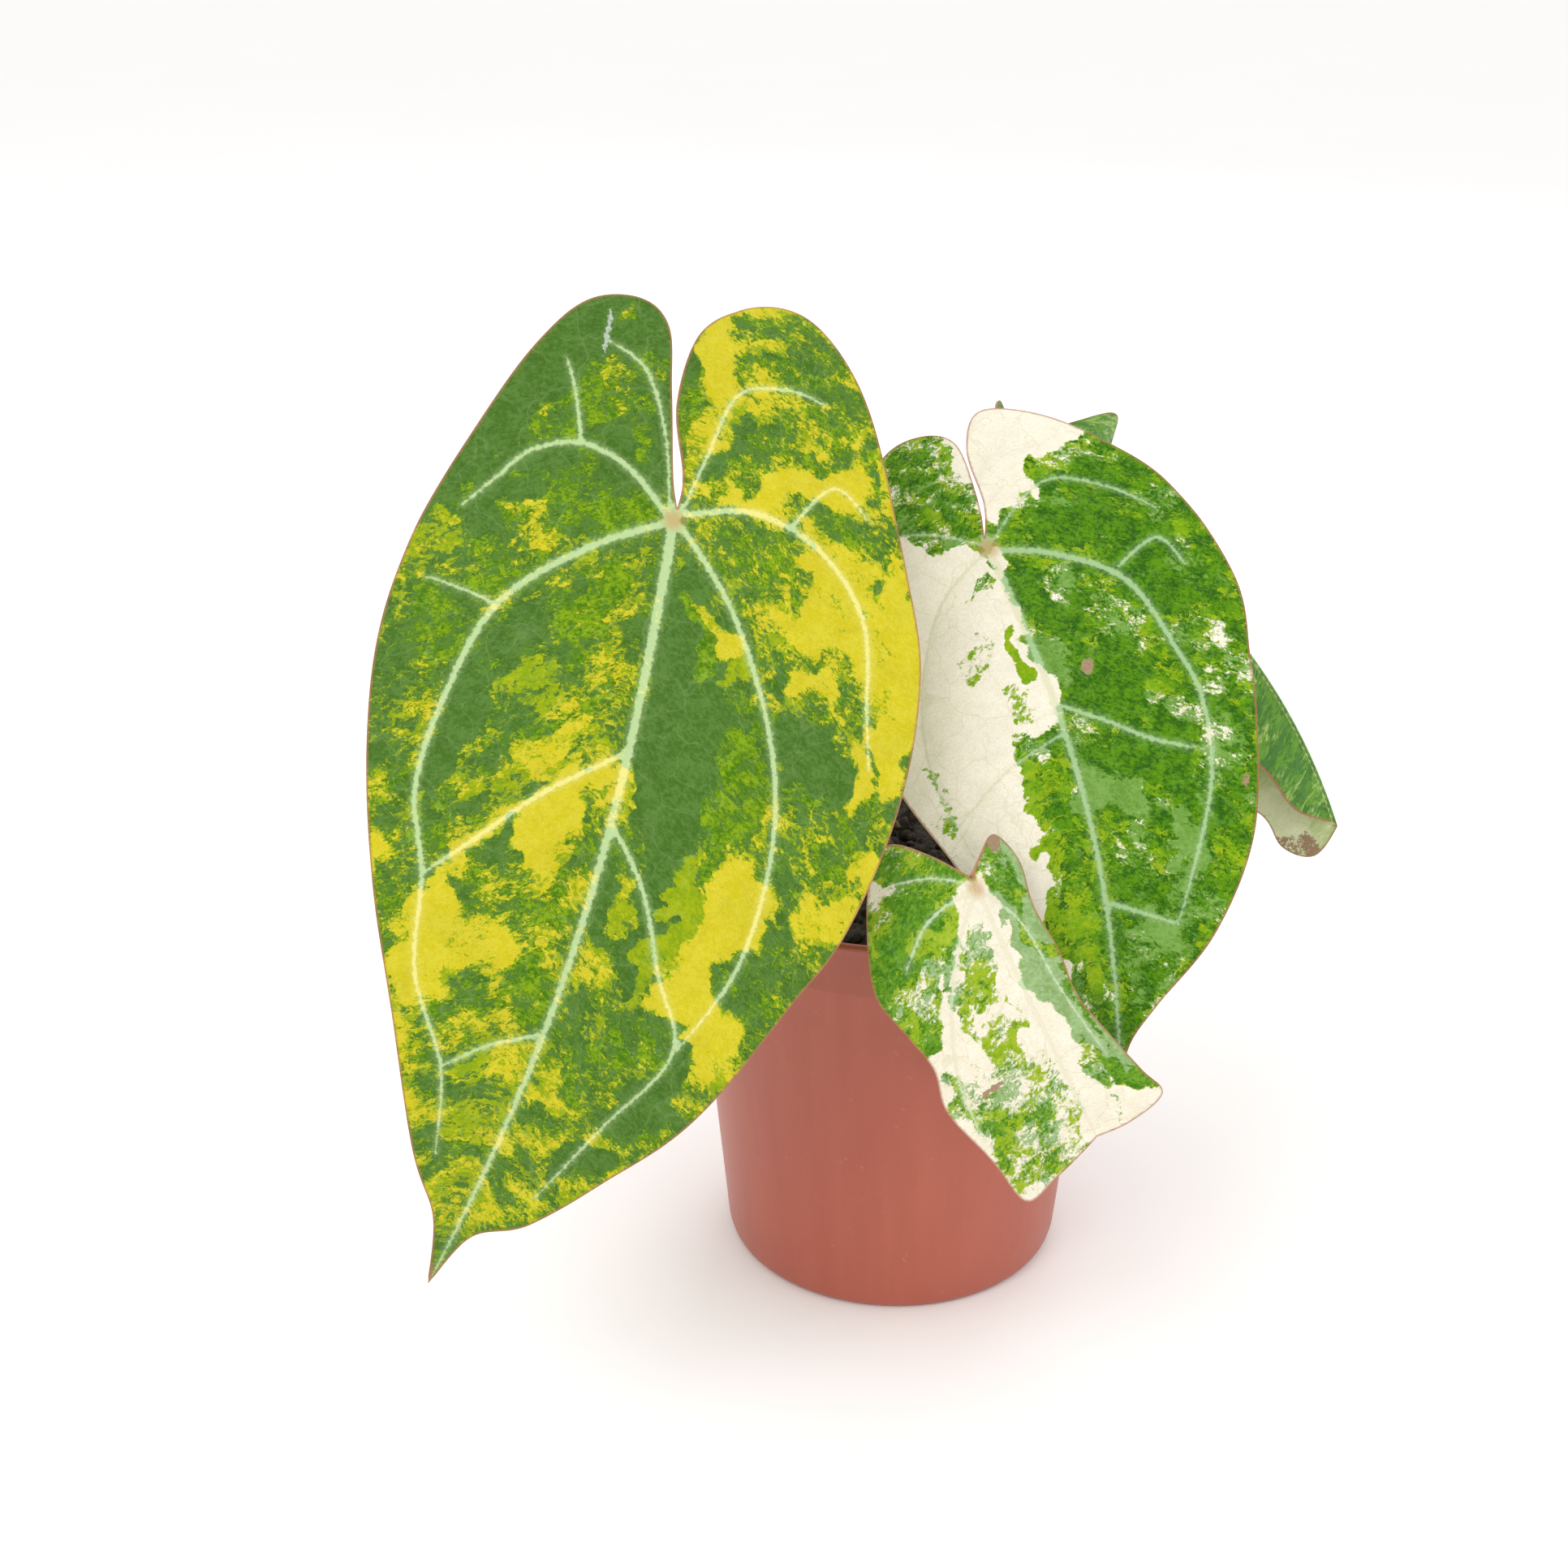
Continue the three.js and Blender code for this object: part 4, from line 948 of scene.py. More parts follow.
# %% Dab the middle leaf
WHITE_DABS = [
    # The green wash of the right half and of the left lobe.
    (30, 20, 60, 120, 70, 35, 20), (-12, -18, 20, 18, 35, 0),
    # The white half and the white right lobe.
    (-100, -100, [(0, 2), (-6, -1), (-14, -6), (-26, -9), (-45, -10), (-45, 60), (-30, 90), (-14, 120),
     (-7, 114), (-6.8, 106), (-8.4, 98), (-8.3, 86), (-5, 76), (-6.5, 63), (-6.5, 54), (-3, 50), (1, 48),
     (5, 46), (5, 38), (3.5, 25), (2, 12)]),
    (-100, -100, [(1, -2), (8.4, -9.9), (14.7, -13.4), (17.2, -20.9), (25.4, -23.3), (33, -26), (20, -45),
     (4, -45), (-4, -36), (-2, -30), (1, -12)]),
    # The lime band and the dark strip left of the midrib.
    (70, -40, [(-6.5, 56), (-2.5, 56), (-2.5, 75), (-1.5, 85), (0, 95), (1, 104), (-3, 106), (-6.8, 106),
     (-8.4, 98), (-8.3, 86), (-5, 76), (-6.5, 63)]),
    (85, 30, [(0, 48), (5.5, 48), (6, 60), (6.5, 80), (6, 95), (5, 108), (3, 125), (-1, 125), (-1.5, 112),
     (1, 104), (0, 95), (-1.5, 85), (-2.5, 75), (-2.5, 60)]),
    # Flecks on the white half.
    (-3.8, 11.5, 1.5, 6, 20, 0, -25), (-8.6, 25, 3, 3, -10, -70), (-10.4, 32, 2, 4, -20, -70),
    (0.5, 27, 1.4, 7, 75, -80, -5), (-0.9, 35, 2, 5, 70, -80), (-2.2, 41.5, 1.8, 4, 0, -60),
    (-3, 52.6, 3, 5, 10, 10), (-29.7, 55.3, 1.8, 5, 20, -60, 5), (-26.5, 63.7, 2.2, 5, 15, -60, 5),
    (-24.3, 72, 1.4, 3, 10, -60, 5), (-7.1, -2.4, 1.5, 4, -30, 90, 90),
    (-13.6, -4.2, 1.5, 2.5, 20, -20, 90), (-18.3, -6.6, 1.5, 2.5, 10, -20, 90),
    (-17.5, -9.8, 1.5, 4, -30, 80, 90),
    # The right half, from the lobe to the tip.
    (12.9, -8.7, 3, 4, -50, 5, 60), (23, -17.5, 5, 6, 50, -35, 60), (28, -19, 4, 6, 30, 10, 80),
    (36, -12, 8, 10, 60, 55, 40), (18.7, -8.3, 2.5, 5, -10, 80, 70), (14, -3, 3.5, 8, 95, 5, 75),
    (21, -1, 6, 11, 95, 85, 70), (28, 4, 4, 5, 60, 70), (44.5, 0, 5, 5, 0, 55),
    (37, 14, 8, 14, 85, 75, 10), (45, 18, 6, 8, 50, 65, 10), (43.5, 32, 3.5, 8, -20, 25, 75),
    (50, 35, 3, 3, -50, 5), (46.5, 45, 5, 6, -10, 15), (45, 54, 5, 6, 30, 70), (41, 62, 5, 4, -10, 45),
    (8, 16, 5, 10, 60, 70, 15), (21, 22, 5, 15, 20, 35, 33), (18.2, 17.7, 2, 4, 70, 90, 20),
    (8.3, 34.2, 5.5, 6, -50, 90), (23, 43, 6, 14, 98, 85, 36), (31, 46, 3, 8, 30, 35, 25),
    (37, 53, 3, 4, 10, 15), (6, 49, 4, 5, 40, 45), (13.2, 52.3, 6, 4, 10, 45), (20, 58, 4, 8, 70, 65, 70),
    (29, 66, 5, 12, 95, 80, 35), (14, 66, 5, 14, -60, 95, 40), (28, 84, 4, 11, -60, 95, -10),
    (13, 80, 6, 7, 30, 30), (15, 90, 6, 6, 50, 70), (39.8, 72, 5, 8, 50, 55),
    (37.6, 85, 4, 7, 90, 20, -15), (27.7, 95, 5, 6, -10, 60, -30), (7, 97.8, 4, 7, 90, 35),
    (10.8, 104, 4, 6, 30, 70), (17, 101, 3.5, 7, -70, 90), (24, 101, 4, 6, 20, 70, -30),
    (8.3, 114.5, 3.5, 6, -10, 70, -10), (14, 112, 3, 8, 50, 70, -30), (-4.7, 110.5, 3, 5, -10, 70),
    (1.4, 122.6, 6, 8, 50, 65),
    # The left lobe: mottled green and white.
    (-9.6, -17, 4, 4, 0, 70), (-16.9, -16, 4, 5, -20, 25), (-5.6, -11.9, 4, 4, 10, 65),
    (-3.1, -7.2, 2, 6, 60, 35, 20), (-16, -24, 6, 4, 40, 45), (-12, -27, 3, 2, -40, 15),
]
print("dabs on the middle leaf:", len(WHITE_DABS))

# %% [markdown]
# The small leaf is mostly white, and the rear one green with long streaks. Scars are painted in the
# same way: a few brown spots, dried edges and a pale scratch.

# %% Dab the small leaf and the rear leaf
SMALL_DABS = [
    # White all over, and mottled further down.
    (0, 30, 90, 90, -85, -85), (-12, 56, 15, 20, -30, -30),
    # The green upper left.
    (75, 35, [(2, -5), (-5, -16), (-15, -24), (-28, -20), (-40, 0), (-38, 30), (-30, 36), (-24, 32),
     (-19, 20), (-15, 18), (-9, 6)]),
    # The left lobe and the green upper left.
    (-13.8, -13.2, 6, 5, 30, 20), (-22, -8, 1.8, 6, -60, -50, 80), (-27, -5, 2, 4, -60, -40),
    (-18, -3.5, 4, 7, 70, 80, 85), (-25, 1, 3, 3, 20, 0), (-20.5, 5.6, 2.5, 5, 90, 80, -40),
    (-28.5, 10, 3, 5, 70, 60), (-12, 4, 3, 9, 80, -20, -55), (-18.4, 8.4, 3, 4, 85, -30),
    (-14, 13, 3, 5, 50, 10, -30), (-19.4, 15.8, 3, 4, 10, 10), (-23.5, 20.5, 3.5, 3.5, -40, -20),
    (-27.7, 18, 3, 5, 60, -10), (-26.5, 27, 4, 4, 70, -10),
    # The white middle and its flecks.
    (-15, 30, 2.5, 9, -100, -100, -20), (-9.5, 20, 2.4, 13, 35, -35, -22),
    (-12.4, 16, 1.2, 7, 30, 80, -20), (-5, 15, 2, 7, -40, 50, -20), (-7.5, 22.4, 1.4, 3, 40, -50),
    (-3.9, 28.1, 1.2, 3, 20, -60), (-9.3, 32, 2, 4, 10, -50), (-6, 37, 2.2, 5, 70, -50, -15),
    (-12.5, 36, 1.5, 5, 20, -40), (-9, 41, 1.5, 3, 10, -50), (-13.6, 49.5, 2, 6, -50, 50),
    (-4.5, 47, 1.5, 3, 30, -50), (-9.2, 51, 2.5, 4, 20, -40), (-8.8, 58, 2, 6, 0, 50),
    (-10.4, 65.5, 4, 5, 40, 0), (-2.5, 60, 2.2, 7, 15, -40), (-24.6, 40.8, 2, 4, 30, 0),
    (-26.8, 45.5, 2.5, 4, 60, 10), (-27.9, 50.8, 2, 3, -20, 50), (-22.7, 56, 4, 4, -10, 50),
    (-21, 60, 4, 5, 50, -40), (-18, 68, 6, 4, 30, -20),
    # Right of the midrib: white, then soft green up to the fold, a lime line and a dark end.
    (-80, 90, [(1, 1), (3, 12), (2, 20), (2.6, 30), (2.4, 40), (5, 50), (10, 55), (24, 60), (30, 30),
     (20, 0), (9, -12), (5, -10)]),
    (6, 0, 5, 9, 60, 50, 15), (8.6, 18, 1.6, 14, 80, 0, 8), (12, 40, 1.6, 12, 60, 60, 15),
    (6, 49, 3, 4, 10, 20, 20), (7, 57, 2.4, 8, 0, 40, 20), (14, 55, 2.4, 9, 90, 50, 45),
    (12, 61.5, 1.8, 7, -100, -100, 45), (0.6, 42, 1.6, 28, -100, -100, 3), (5, -3, 2, 3, 30, 10),
]
REAR_DABS = [
    # Streaky green on the near half, pale on the far one.
    (0, 40, 200, 300, 55, 25), (24, 50, 20, 90, -10, 10), (-6, 30, 3, 40, 80, 80),
    (-14, 30, 3, 30, 30, -30, -5), (-20, 40, 3, 34, 80, 50, -5), (-27, 45, 3, 30, 30, -40),
    (-12, -16, 8, 9, -20, 30, 30), (-14, 90, 8, 12, 30, 0, 10), (22, -12, 12, 9, 40, -20),
    (33, 10, 6, 14, 80, 70), (17, 112, 10, 10, -100, -100),
]
# A scar has one number in place of the two greens: how dead the leaf is, or below zero how scratched.
SCARS = {
    "large_yellow": [(-27, -39, 0.9, 8, -55, 7)],
    "middle_white": [(15.2, 35.7, 1.5, 2.2, 80, -20), (45, 70.5, 1.4, 2.2, 50), (-9, 22, 1, 1.2, 45)],
    "small_cut": [(11, -8, 3.4, 2.2, 80, 60), (-17, 45.5, 0.8, 4, 80, 108)],
    "rear_folded": [(17, 121, 6, 5, 50), (9, 124, 7, 2.5, 60, 80)],
}
print("dabs on the small leaf:", len(SMALL_DABS), "and on the rear leaf:", len(REAR_DABS))

# %% [markdown]
# ## Building a blade
#
# Each half is filled with a honeycomb of points a little over a millimetre apart and split into
# triangles that respect the veins, so the sunken vein lines stay sharp. Blender's own Delaunay
# function does the splitting, and the two halves are then merged along the midrib.

# %% Fill a leaf with triangles
MESH_STEP = 1.15
COLUMNS, ROWS, ROW_HEIGHT = (-80, 80), (-80, 240), 0.866
VEIN_CLEARANCE, POINT_CLEARANCE = 0.6, 0.62
SLIVER = 0.01


def half_mesh(leaf, side, midrib, veins):
    """Flat points, triangles and margin of one half of a leaf."""
    margin = smooth_line(leaf[side], MESH_STEP)
    outline = np.vstack([margin, midrib[-2:0:-1]])
    closed = np.vstack([outline, outline[:1]])
    lines = []
    for vein in veins:
        kept = vein[inside_of(outline, vein)]
        kept = kept[distance_to(closed, kept)[0] > VEIN_CLEARANCE * MESH_STEP]
        if len(kept) > 2:
            lines.append(kept)
    column, row = np.meshgrid(np.arange(*COLUMNS), np.arange(*ROWS))
    grid = np.stack([(column + 0.5 * (row % 2)) * MESH_STEP, row * ROW_HEIGHT * MESH_STEP], -1)
    grid = grid.reshape(-1, 2)
    grid = grid[inside_of(outline, grid)]
    for line in [closed] + lines:
        grid = grid[distance_to(line, grid)[0] > POINT_CLEARANCE * MESH_STEP]
    points = [*outline]
    edges = [(i, (i + 1) % len(outline)) for i in range(len(outline))]
    for line in lines:
        edges += [(len(points) + i, len(points) + i + 1) for i in range(len(line) - 1)]
        points += [*line]
    points += [*grid]
    made = geometry.delaunay_2d_cdt([Vector(p) for p in points], edges, [], 0, 1e-5)
    flat = np.array([tuple(p) for p in made[0]])
    triangles = np.array([t for t in made[2] if len(t) == 3])
    return flat, triangles[inside_of(outline, flat[triangles].mean(axis=1))], margin


def whole_mesh(leaf, midrib, veins):
    """Flat points and triangles of a whole leaf, and the margins of its halves."""
    halves = [half_mesh(leaf, side, midrib, veins) for side in ("left", "right")]
    # The two halves share the points of the midrib.
    flat, same = np.unique(
        np.round(np.vstack([half[0] for half in halves]), 3), axis=0, return_inverse=True
    )
    triangles = np.vstack([halves[0][1], halves[1][1] + len(halves[0][0])])
    triangles = same.ravel()[triangles]
    a, b, c = (flat[triangles[:, k]] for k in range(3))
    turn = (b[:, 0] - a[:, 0]) * (c[:, 1] - a[:, 1]) - (b[:, 1] - a[:, 1]) * (c[:, 0] - a[:, 0])
    triangles[turn > 0] = triangles[turn > 0][:, [0, 2, 1]]
    return flat, triangles[np.abs(turn) > SLIVER], [half[2] for half in halves]


print(f"points {MESH_STEP} mm apart, rows {ROW_HEIGHT * MESH_STEP:.2f} mm apart")

# %% [markdown]
# Dabs are painted on those points, one over the other. Their smooth edges would look drawn with a
# compass, so each point first wanders a little, pushed by a wide and a fine noise, and is painted
# with what lies where it gets to.

# %% Paint dabs on flat points
FIELD_EDGE = 0.6
DAB_FADES_FROM, DAB_FADES_TO = 0.7, 1.3
WIDE_SIZE, WIDE_REACH = 10, 6
FINE_SIZE, FINE_REACH = 3.5, 2.4


def dabbed(dabs, flat, layer_count):
    """What all the dabs, painted one over the other, leave at each flat point."""
    layers = np.zeros((len(flat), layer_count))
    for dab in dabs:
        if isinstance(dab[-1], list):
            *percent, corners = dab
            corners = np.array(corners, float)
            away = distance_to(np.vstack([corners, corners[:1]]), flat)[0]
            away = np.where(inside_of(corners, flat), away, -away)
            cover = ease(-FIELD_EDGE, FIELD_EDGE, away)
        else:
            u, v, half_width, half_length, *rest = dab
            percent, lean = rest[:layer_count], math.radians(sum(rest[layer_count:]))
            sine, cosine = math.sin(lean), math.cos(lean)
            du, dv = flat[:, 0] - u, flat[:, 1] - v
            across, along = du * cosine - dv * sine, du * sine + dv * cosine
            away = np.hypot(across / half_width, along / half_length)
            cover = ease(DAB_FADES_TO, DAB_FADES_FROM, away)
        layers += cover[:, None] * (np.array(percent) / 100 - layers)
    return layers


def wandering(flat):
    """The flat points pushed about by two noises, so that what is painted there has no smooth edge."""
    def push(seed, size):
        return [noise.noise((u / size, v / size, seed)) for u, v in flat]
    wide = np.stack([push(1, WIDE_SIZE), push(5, WIDE_SIZE)], axis=1)
    fine = np.stack([push(9, FINE_SIZE), push(13, FINE_SIZE)], axis=1)
    return flat + WIDE_REACH * wide + FINE_REACH * fine


print("a point of the leaf wanders to", wandering(np.array([[20.0, 60.0]])).round(2)[0])

# %% [markdown]
# A Solidify modifier could give the thickness, but at the sharp fold of the rear leaf it throws some
# points to the wrong side. So both sides are worked out with the same sums: thin between the veins
# and thick below them, which raises the ribs. Between the veins the blade is lifted like a pillow.

# %% Give a blade two sides
PILLOW, PILLOW_REACH = 0.9, 7.0
BLADE, RIB_DEPTH, GROOVE, RIB_HALF_WIDTH = 0.55, 1.05, 0.25, 1.5
JUNCTION_SWELL, SWELL_ACROSS, SWELL_ALONG = 1.6, 3.5, 4
VEIN_SHARE, VEIN_TAPER, TAPER_FROM = 0.62, 0.6, 0.85
HAIR = 0.00002


def vein_distances(leaf, flat, midrib, veins):
    """How far each flat point is from the middle and from the edge of the nearest vein."""
    middles, edges = [], []
    for start, end, line in [(*leaf["midrib"], midrib), *veins]:
        away, where = distance_to(line, flat)
        middles.append(away)
        taper = 1 - VEIN_TAPER * ease(TAPER_FROM, 1, where)
        edges.append(away - VEIN_SHARE * (start + (end - start) * where) * taper)
    return np.min(middles, axis=0), np.min(edges, axis=0)


def both_sides(leaf, flat, away):
    """The places of the upper side and then of the lower side, in metres."""
    rib = np.clip(1 - away / RIB_HALF_WIDTH, 0, 1)
    pillow = PILLOW * (1 - np.exp(-((away / PILLOW_REACH) ** 2)))
    u, v = flat[:, 0], flat[:, 1]
    lift = pillow - PILLOW + BLADE / 2 - GROOVE * rib
    swell = JUNCTION_SWELL * np.exp(-((u / SWELL_ACROSS) ** 2) - ((v / SWELL_ALONG) ** 2))
    face = facing(leaf, u, v)
    above = bent(leaf, u, v) + face * lift[:, None]
    below = above - face * (BLADE + RIB_DEPTH * rib + swell)[:, None]
    # The blade stays inside the box of the plain model.
    low, high = (np.array(corner) for corner in solid_box)
    return np.clip(np.vstack([above, below]) * MM, low + HAIR, high - HAIR)


def rim_faces(triangles, count):
    """Faces between both sides, along the edges that only one triangle uses."""
    steps = np.vstack([triangles[:, [0, 1]], triangles[:, [1, 2]], triangles[:, [2, 0]]])
    back = steps[:, 1] * count + steps[:, 0]
    a, b = steps[~np.isin(steps[:, 0] * count + steps[:, 1], back)].T
    return np.stack([b, a, a + count, b + count], axis=1)


print(f"a blade is {BLADE} mm thick, and {BLADE + RIB_DEPTH:.1f} mm at a vein")

# %% [markdown]
# The mesh is written from lists, because these shapes come from sums and not from a primitive. The
# blade keeps on every point what its finish asks for: the flat place, the place along the streaks,
# how far it is from the edge of a vein and from the margin, how green its two layers are and how
# dead it is.

# %% Build a blade
STREAK_TURN = math.radians(32)
STREAK_STRETCH = 0.68
GREEN_GAIN = 2.2


def keep(mesh, name, values):
    """Keeps a number or three on every point of both sides of a blade, for its finish."""
    kind, field = ("FLOAT", "value") if values.ndim == 1 else ("FLOAT_VECTOR", "vector")
    attribute = mesh.attributes.new(name, kind, "POINT")
    attribute.data.foreach_set(field, np.concatenate([values, values]).astype(np.float32).ravel())


def blade(name, leaf, dabs, scars):
    """A leaf blade as a mesh object in its place, with the facts that its finish needs."""
    midrib_v = np.linspace(0, leaf["length"], round(leaf["length"] / MESH_STEP))
    midrib = np.stack([midrib_at(leaf, midrib_v), midrib_v], axis=1)
    midrib[0] = leaf["left"][0]
    veins = [(start, end, smooth_line(route, MESH_STEP)) for start, end, route in leaf["veins"]]
    flat, triangles, margins = whole_mesh(leaf, midrib, [line for _, _, line in veins])
    from_middle, from_edge = vein_distances(leaf, flat, midrib, veins)
    count = len(flat)
    rim = rim_faces(triangles, count)
    mesh = bpy.data.meshes.new(name)
    faces = triangles.tolist() + (triangles[:, ::-1] + count).tolist() + rim.tolist()
    mesh.from_pydata(both_sides(leaf, flat, from_middle).tolist(), [], faces)
    sides = np.repeat([0, 1, 2], [len(triangles), len(triangles), len(rim)])
    mesh.polygons.foreach_set("material_index", sides.astype(np.int32))
    made = bpy.data.objects.new(name, mesh)
    bpy.context.collection.objects.link(made)

    u, v, nothing = np.abs(flat[:, 0]), flat[:, 1], np.zeros(count)
    sine, cosine = math.sin(STREAK_TURN), math.cos(STREAK_TURN)
    streak = STREAK_STRETCH * leaf.get("long_streaks", 1) * (u * cosine + v * sine)
    layers = dabbed(dabs, wandering(flat), 2)
    layers = GREEN_GAIN * layers * np.abs(layers)
    keep(mesh, "flat", np.column_stack([flat, nothing]))
    keep(mesh, "streak", np.column_stack([streak, v * cosine - u * sine, nothing]))
    keep(mesh, "vein", from_edge)
    keep(mesh, "margin", np.min([distance_to(margin, flat)[0] for margin in margins], axis=0))
    keep(mesh, "upper_green", layers[:, 0])
    keep(mesh, "lower_green", layers[:, 1])
    keep(mesh, "scar", dabbed(scars, flat, 1)[:, 0])
    shade(made, 60)
    return made


print(f"streaks lean {math.degrees(STREAK_TURN):.0f} degrees and are stretched by {1 / STREAK_STRETCH:.1f}")

# %% [markdown]
# ## The finish of a leaf
#
# The two layers are broken up into ragged flecks: a cloudy noise for the large ones, the cells of a
# Voronoi texture and a finer noise for the small ones, because real flecks are groups of cells
# between the finest veins. Where the sum is above zero, that layer is green.

# %% Break a layer into flecks
CLOUD_SHARE, CELL_SHARE, DOT_SHARE = 6.2, 0.5, 2.4
RAGGED = 0.3


def grey(wire):
    """One channel of a colour as a number."""
    return wire.finish.node("ShaderNodeSeparateColor", None, {"Color": wire}, out=0)


def warped(place, scale, reach):
    """A place pushed about by a noise, so that what is drawn there gets a wandering edge."""
    sockets = {"Vector": place, "Scale": scale, "Detail": 2.0}
    push = place.finish.node("ShaderNodeTexNoise", None, sockets, out=1)
    return place.finish.vector("MULTIPLY_ADD", push, (reach,) * 3, place)


def flecks(finish, layer, seed, fineness):
    """1 where a layer of the leaf is green, with ragged edges, and 0 where it isn't."""
    streak = finish.vector("ADD", finish.attribute("streak", 1), (seed, 2.3 * seed, seed))
    place = warped(streak, 0.5, 2.5)
    clouds = finish.noise(place, 0.16 * fineness, 7.0, 0.74)
    cells = finish.node("ShaderNodeTexVoronoi", None, {"Vector": place, "Scale": fineness}, out=1)
    dots = finish.noise(place, 1.2 * fineness, 2.0, 0.7)
    total = layer + (clouds - 0.5) * CLOUD_SHARE + (grey(cells) - 0.5) * CELL_SHARE
    return (total + (dots - 0.5) * DOT_SHARE).step(-RAGGED, RAGGED)


print("a layer turns green over", 2 * RAGGED, "of its sum")

# %% [markdown]
# Over the four tones lie the fine net of veins, the silvery main veins with their feathered edges,
# the reddish margin and the warm spot where the petiole joins. The same recipe serves the underside
# with paler colours.

# %% Mix the finish of a leaf
HALO, SPOT, RIM, SCRATCH = 0.22, 0.6, 0.75, 0.6


def leaf_finish(name, tones, vein_tones, vein_cover, roughness, relief):
    """The finish of one side of a blade. Each of the four tones drifts between two colours: neither
    layer green, the lower one alone, the upper one alone, and both."""
    finish = Finish(name, Roughness=roughness, Specular_IOR_Level=0.12)
    flat = finish.attribute("flat", 1)
    vein = finish.attribute("vein")
    upper = flecks(finish, finish.attribute("upper_green"), 3.0, 1.0)
    lower = flecks(finish, finish.attribute("lower_green"), 41.0, 1.35)
    mottle = finish.noise(finish.attribute("streak", 1), 1.1, 4.0, 0.8)
    drift = (finish.noise(flat, 0.22, 5.0, 0.7) * 0.45 + mottle * 0.55).step(0.42, 0.58)
    neither, lower_alone, upper_alone, both = (finish.mix(drift, rgb(*a), rgb(*b)) for a, b in tones)
    without = finish.mix(lower, neither, lower_alone)
    within = finish.mix(lower, upper_alone, both)
    colour = finish.mix(upper, without, within)
    # Fine grain, as of single cells, and soft changes of light and dark.
    cloud = finish.noise(flat, 0.07, 3.0, 0.6)
    grain = finish.noise(flat, 2.0, 3.0, 0.8)
    brightness = 0.62 + cloud * 0.26 + grain * 0.5
    colour = finish.node("ShaderNodeHueSaturation", None, {"Color": colour, "Value": brightness})
    # The fine net of veins: darker than the pale parts and a little lighter than the green ones.
    bowed = warped(flat, 0.12, 9.0)
    to_edge = {"feature": "DISTANCE_TO_EDGE"}
    net = finish.node("ShaderNodeTexVoronoi", to_edge, {"Vector": bowed, "Scale": 0.1})
    green = upper.larger(lower)
    lines = (1 - net.step(0.0, 0.03)) * (0.17 - green * 0.1)
    on_pale, on_green = (rgb(*tone) for tone in vein_tones)
    vein_colour = finish.mix(green, on_pale, on_green)
    colour = finish.mix(lines, colour, finish.mix(green, rgb(160, 152, 60), vein_colour))
    # The main veins, with feathered edges and a soft halo.
    feather = finish.noise(flat, 0.8, 4.0, 0.75) - 0.5
    halo = 1 - (vein + feather * 3.5).step(-0.3, 1.5)
    line = 1 - (vein + feather * 2.2).step(-0.28, 0.3)
    colour = finish.mix(halo * HALO * vein_cover, colour, vein_colour)
    colour = finish.mix(line * vein_cover, colour, vein_colour)
    # The warm spot at the petiole, the reddish margin and the scars.
    apart = finish.vector("LENGTH", flat, out=1)
    spot = 1 - (apart + feather * 2).step(0.8, 3.6)
    colour = finish.mix(spot * SPOT, colour, rgb(184, 136, 84))
    rim = 1 - (finish.attribute("margin") + feather * 0.8).step(0.15, 0.7)
    colour = finish.mix(rim * RIM, colour, rgb(160, 106, 78))
    scar = finish.attribute("scar")
    dead = (scar + feather * 1.2).step(0.35, 0.55)
    colour = finish.mix(dead, colour, finish.mix(grain, rgb(104, 78, 58), rgb(186, 160, 128)))
    scratch = (-scar + feather * 1.2).step(0.35, 0.55)
    colour = finish.mix(scratch * SCRATCH, colour, rgb(206, 214, 206))
    height = grain * 0.5 + line * 0.4
    return finish.set(Base_Color=colour, Normal=finish.bump(height, relief, 0.0004))


edge_finish = Finish("leaf_margin", Roughness=0.5)
edge_noise = edge_finish.noise(edge_finish.attribute("flat", 1), 0.4, 4.0)
edge_finish.set(Base_Color=edge_finish.mix(edge_noise, rgb(196, 150, 116), rgb(160, 100, 78)))
print("finish of the edge:", edge_finish.material.name)

# %% [markdown]
# The colours are those of the leaves in daylight, as read one by one, except the rear leaf's
# underside: its pale green is painted lighter still, to make up for the shade it hangs in. Each kind
# of leaf has its four tones above and below, always in the same order.

# %% Choose the colours
YELLOW_TONES = [
    ((188, 177, 20), (197, 186, 46)), ((118, 146, 2), (150, 164, 6)),
    ((60, 106, 0), (122, 154, 6)), ((82, 118, 48), (60, 98, 22)),
]
WHITE_TONES = [
    ((230, 223, 206), (223, 216, 195)), ((94, 138, 46), (118, 156, 74)),
    ((140, 164, 12), (104, 150, 2)), ((34, 86, 0), (84, 134, 0)),
]
SMALL_TONES = [
    ((228, 221, 202), (220, 212, 190)), ((124, 154, 92), (148, 176, 122)),
    ((124, 156, 14), (150, 172, 40)), ((52, 106, 8), (100, 146, 30)),
]
GREEN_TONES = [
    ((150, 180, 96), (164, 190, 112)), ((118, 156, 72), (134, 168, 84)),
    ((92, 140, 42), (106, 152, 58)), ((78, 122, 60), (66, 114, 42)),
]
UNDER_YELLOW = [
    ((186, 184, 90), (194, 190, 106)), ((150, 166, 76), (162, 174, 88)),
    ((124, 150, 62), (134, 158, 70)), ((112, 140, 66), (120, 146, 68)),
]
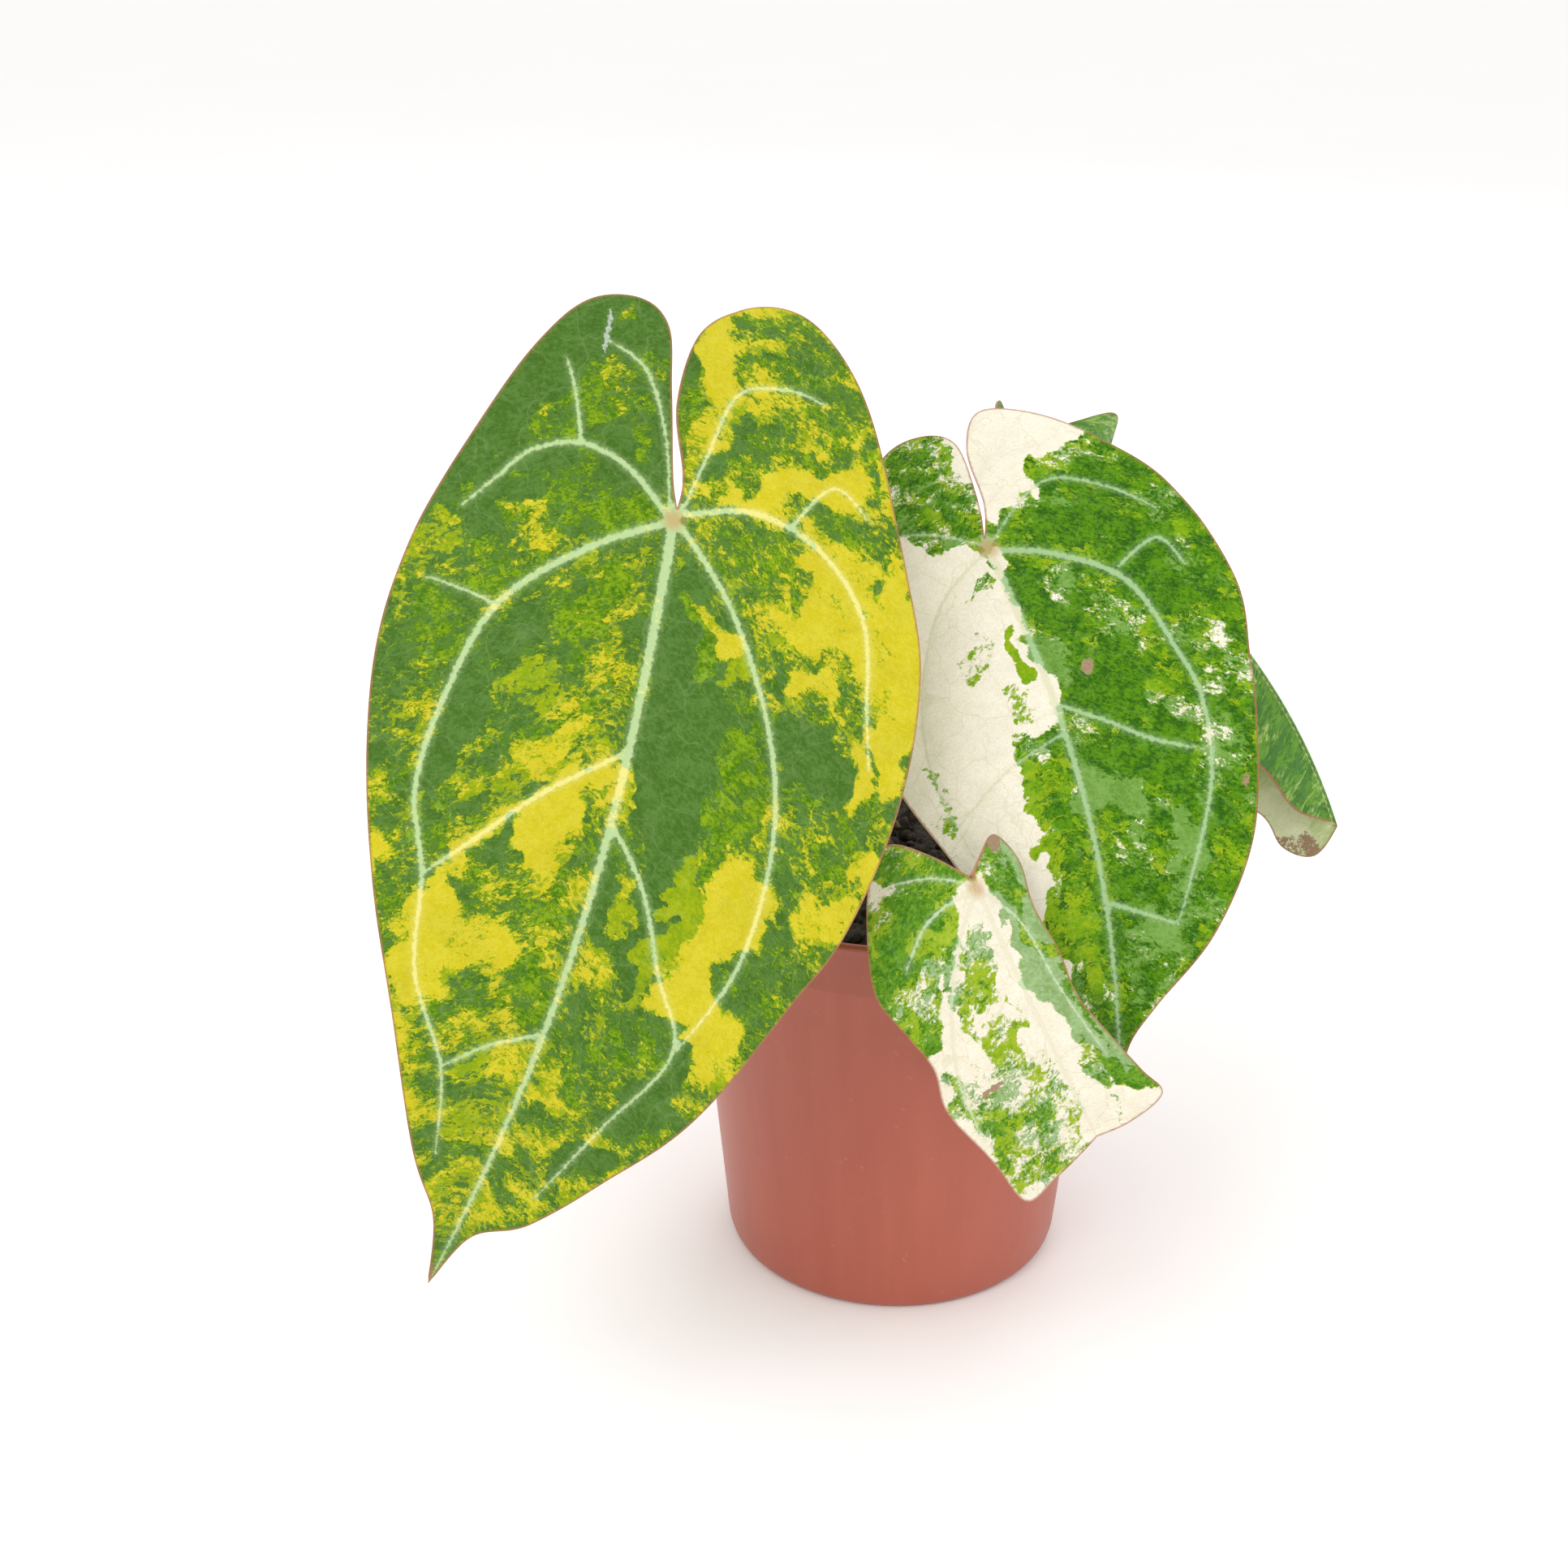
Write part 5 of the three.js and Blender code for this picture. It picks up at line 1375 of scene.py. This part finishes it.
UNDER_WHITE = [
    ((206, 204, 180), (200, 200, 174)), ((150, 170, 118), (158, 176, 124)),
    ((138, 164, 84), (148, 170, 96)), ((114, 144, 72), (122, 150, 78)),
]
# The rear leaf's underside: its pale green is painted lighter, nearly white, to make up for the shade it
# hangs in.
UNDER_GREEN_PAINTED_LIGHT = [
    ((214, 220, 184), (206, 214, 172)), ((196, 208, 158), (200, 210, 162)),
    ((186, 202, 146), (192, 206, 154)), ((176, 194, 134), (182, 198, 140)),
]
# Each kind: the tones above and below, and the veins on pale and on green.
KINDS = {
    "yellow": (YELLOW_TONES, UNDER_YELLOW, ((222, 216, 132), (180, 204, 148))),
    "white": (WHITE_TONES, UNDER_WHITE, ((210, 208, 176), (160, 190, 140))),
    "small": (SMALL_TONES, UNDER_WHITE, ((216, 210, 184), (188, 208, 166))),
    "green": (GREEN_TONES, UNDER_GREEN_PAINTED_LIGHT, ((188, 204, 144), (150, 184, 124))),
}
BELOW_VEINS = ((176, 186, 128), (164, 182, 116))
leaf_looks = {}
for kind, (above, below, above_veins) in KINDS.items():
    leaf_looks[kind] = [
        leaf_finish("leaf_above_" + kind, above, above_veins, 0.85, 0.5, 0.5),
        leaf_finish("leaf_below_" + kind, below, BELOW_VEINS, 0.75, 0.65, 0.6),
    ]
print("leaf finishes:", [material.name for looks in leaf_looks.values() for material in looks])

# %% [markdown]
# Now one loop makes the four blades. Each takes its drawn outline, its dabs and scars, and its kind
# of finish. The three materials are for the upper side, the underside and the rim.

# %% Make the four blades
BLADES = {
    "large_yellow": (YELLOW_DABS, "yellow", "leaf_yellow"),
    "middle_white": (WHITE_DABS, "white", "leaf_white"),
    "small_cut": (SMALL_DABS, "small", "leaf_white"),
    "rear_folded": (REAR_DABS, "green", "leaf_green"),
}
for name, (dabs, kind, slot) in BLADES.items():
    made = blade("leaf_" + name, LEAVES[name], dabs, SCARS[name])
    dress(made, slot, "blade_" + name, *leaf_looks[kind], edge_finish.material)
    print(made.name, len(made.data.polygons), "faces")
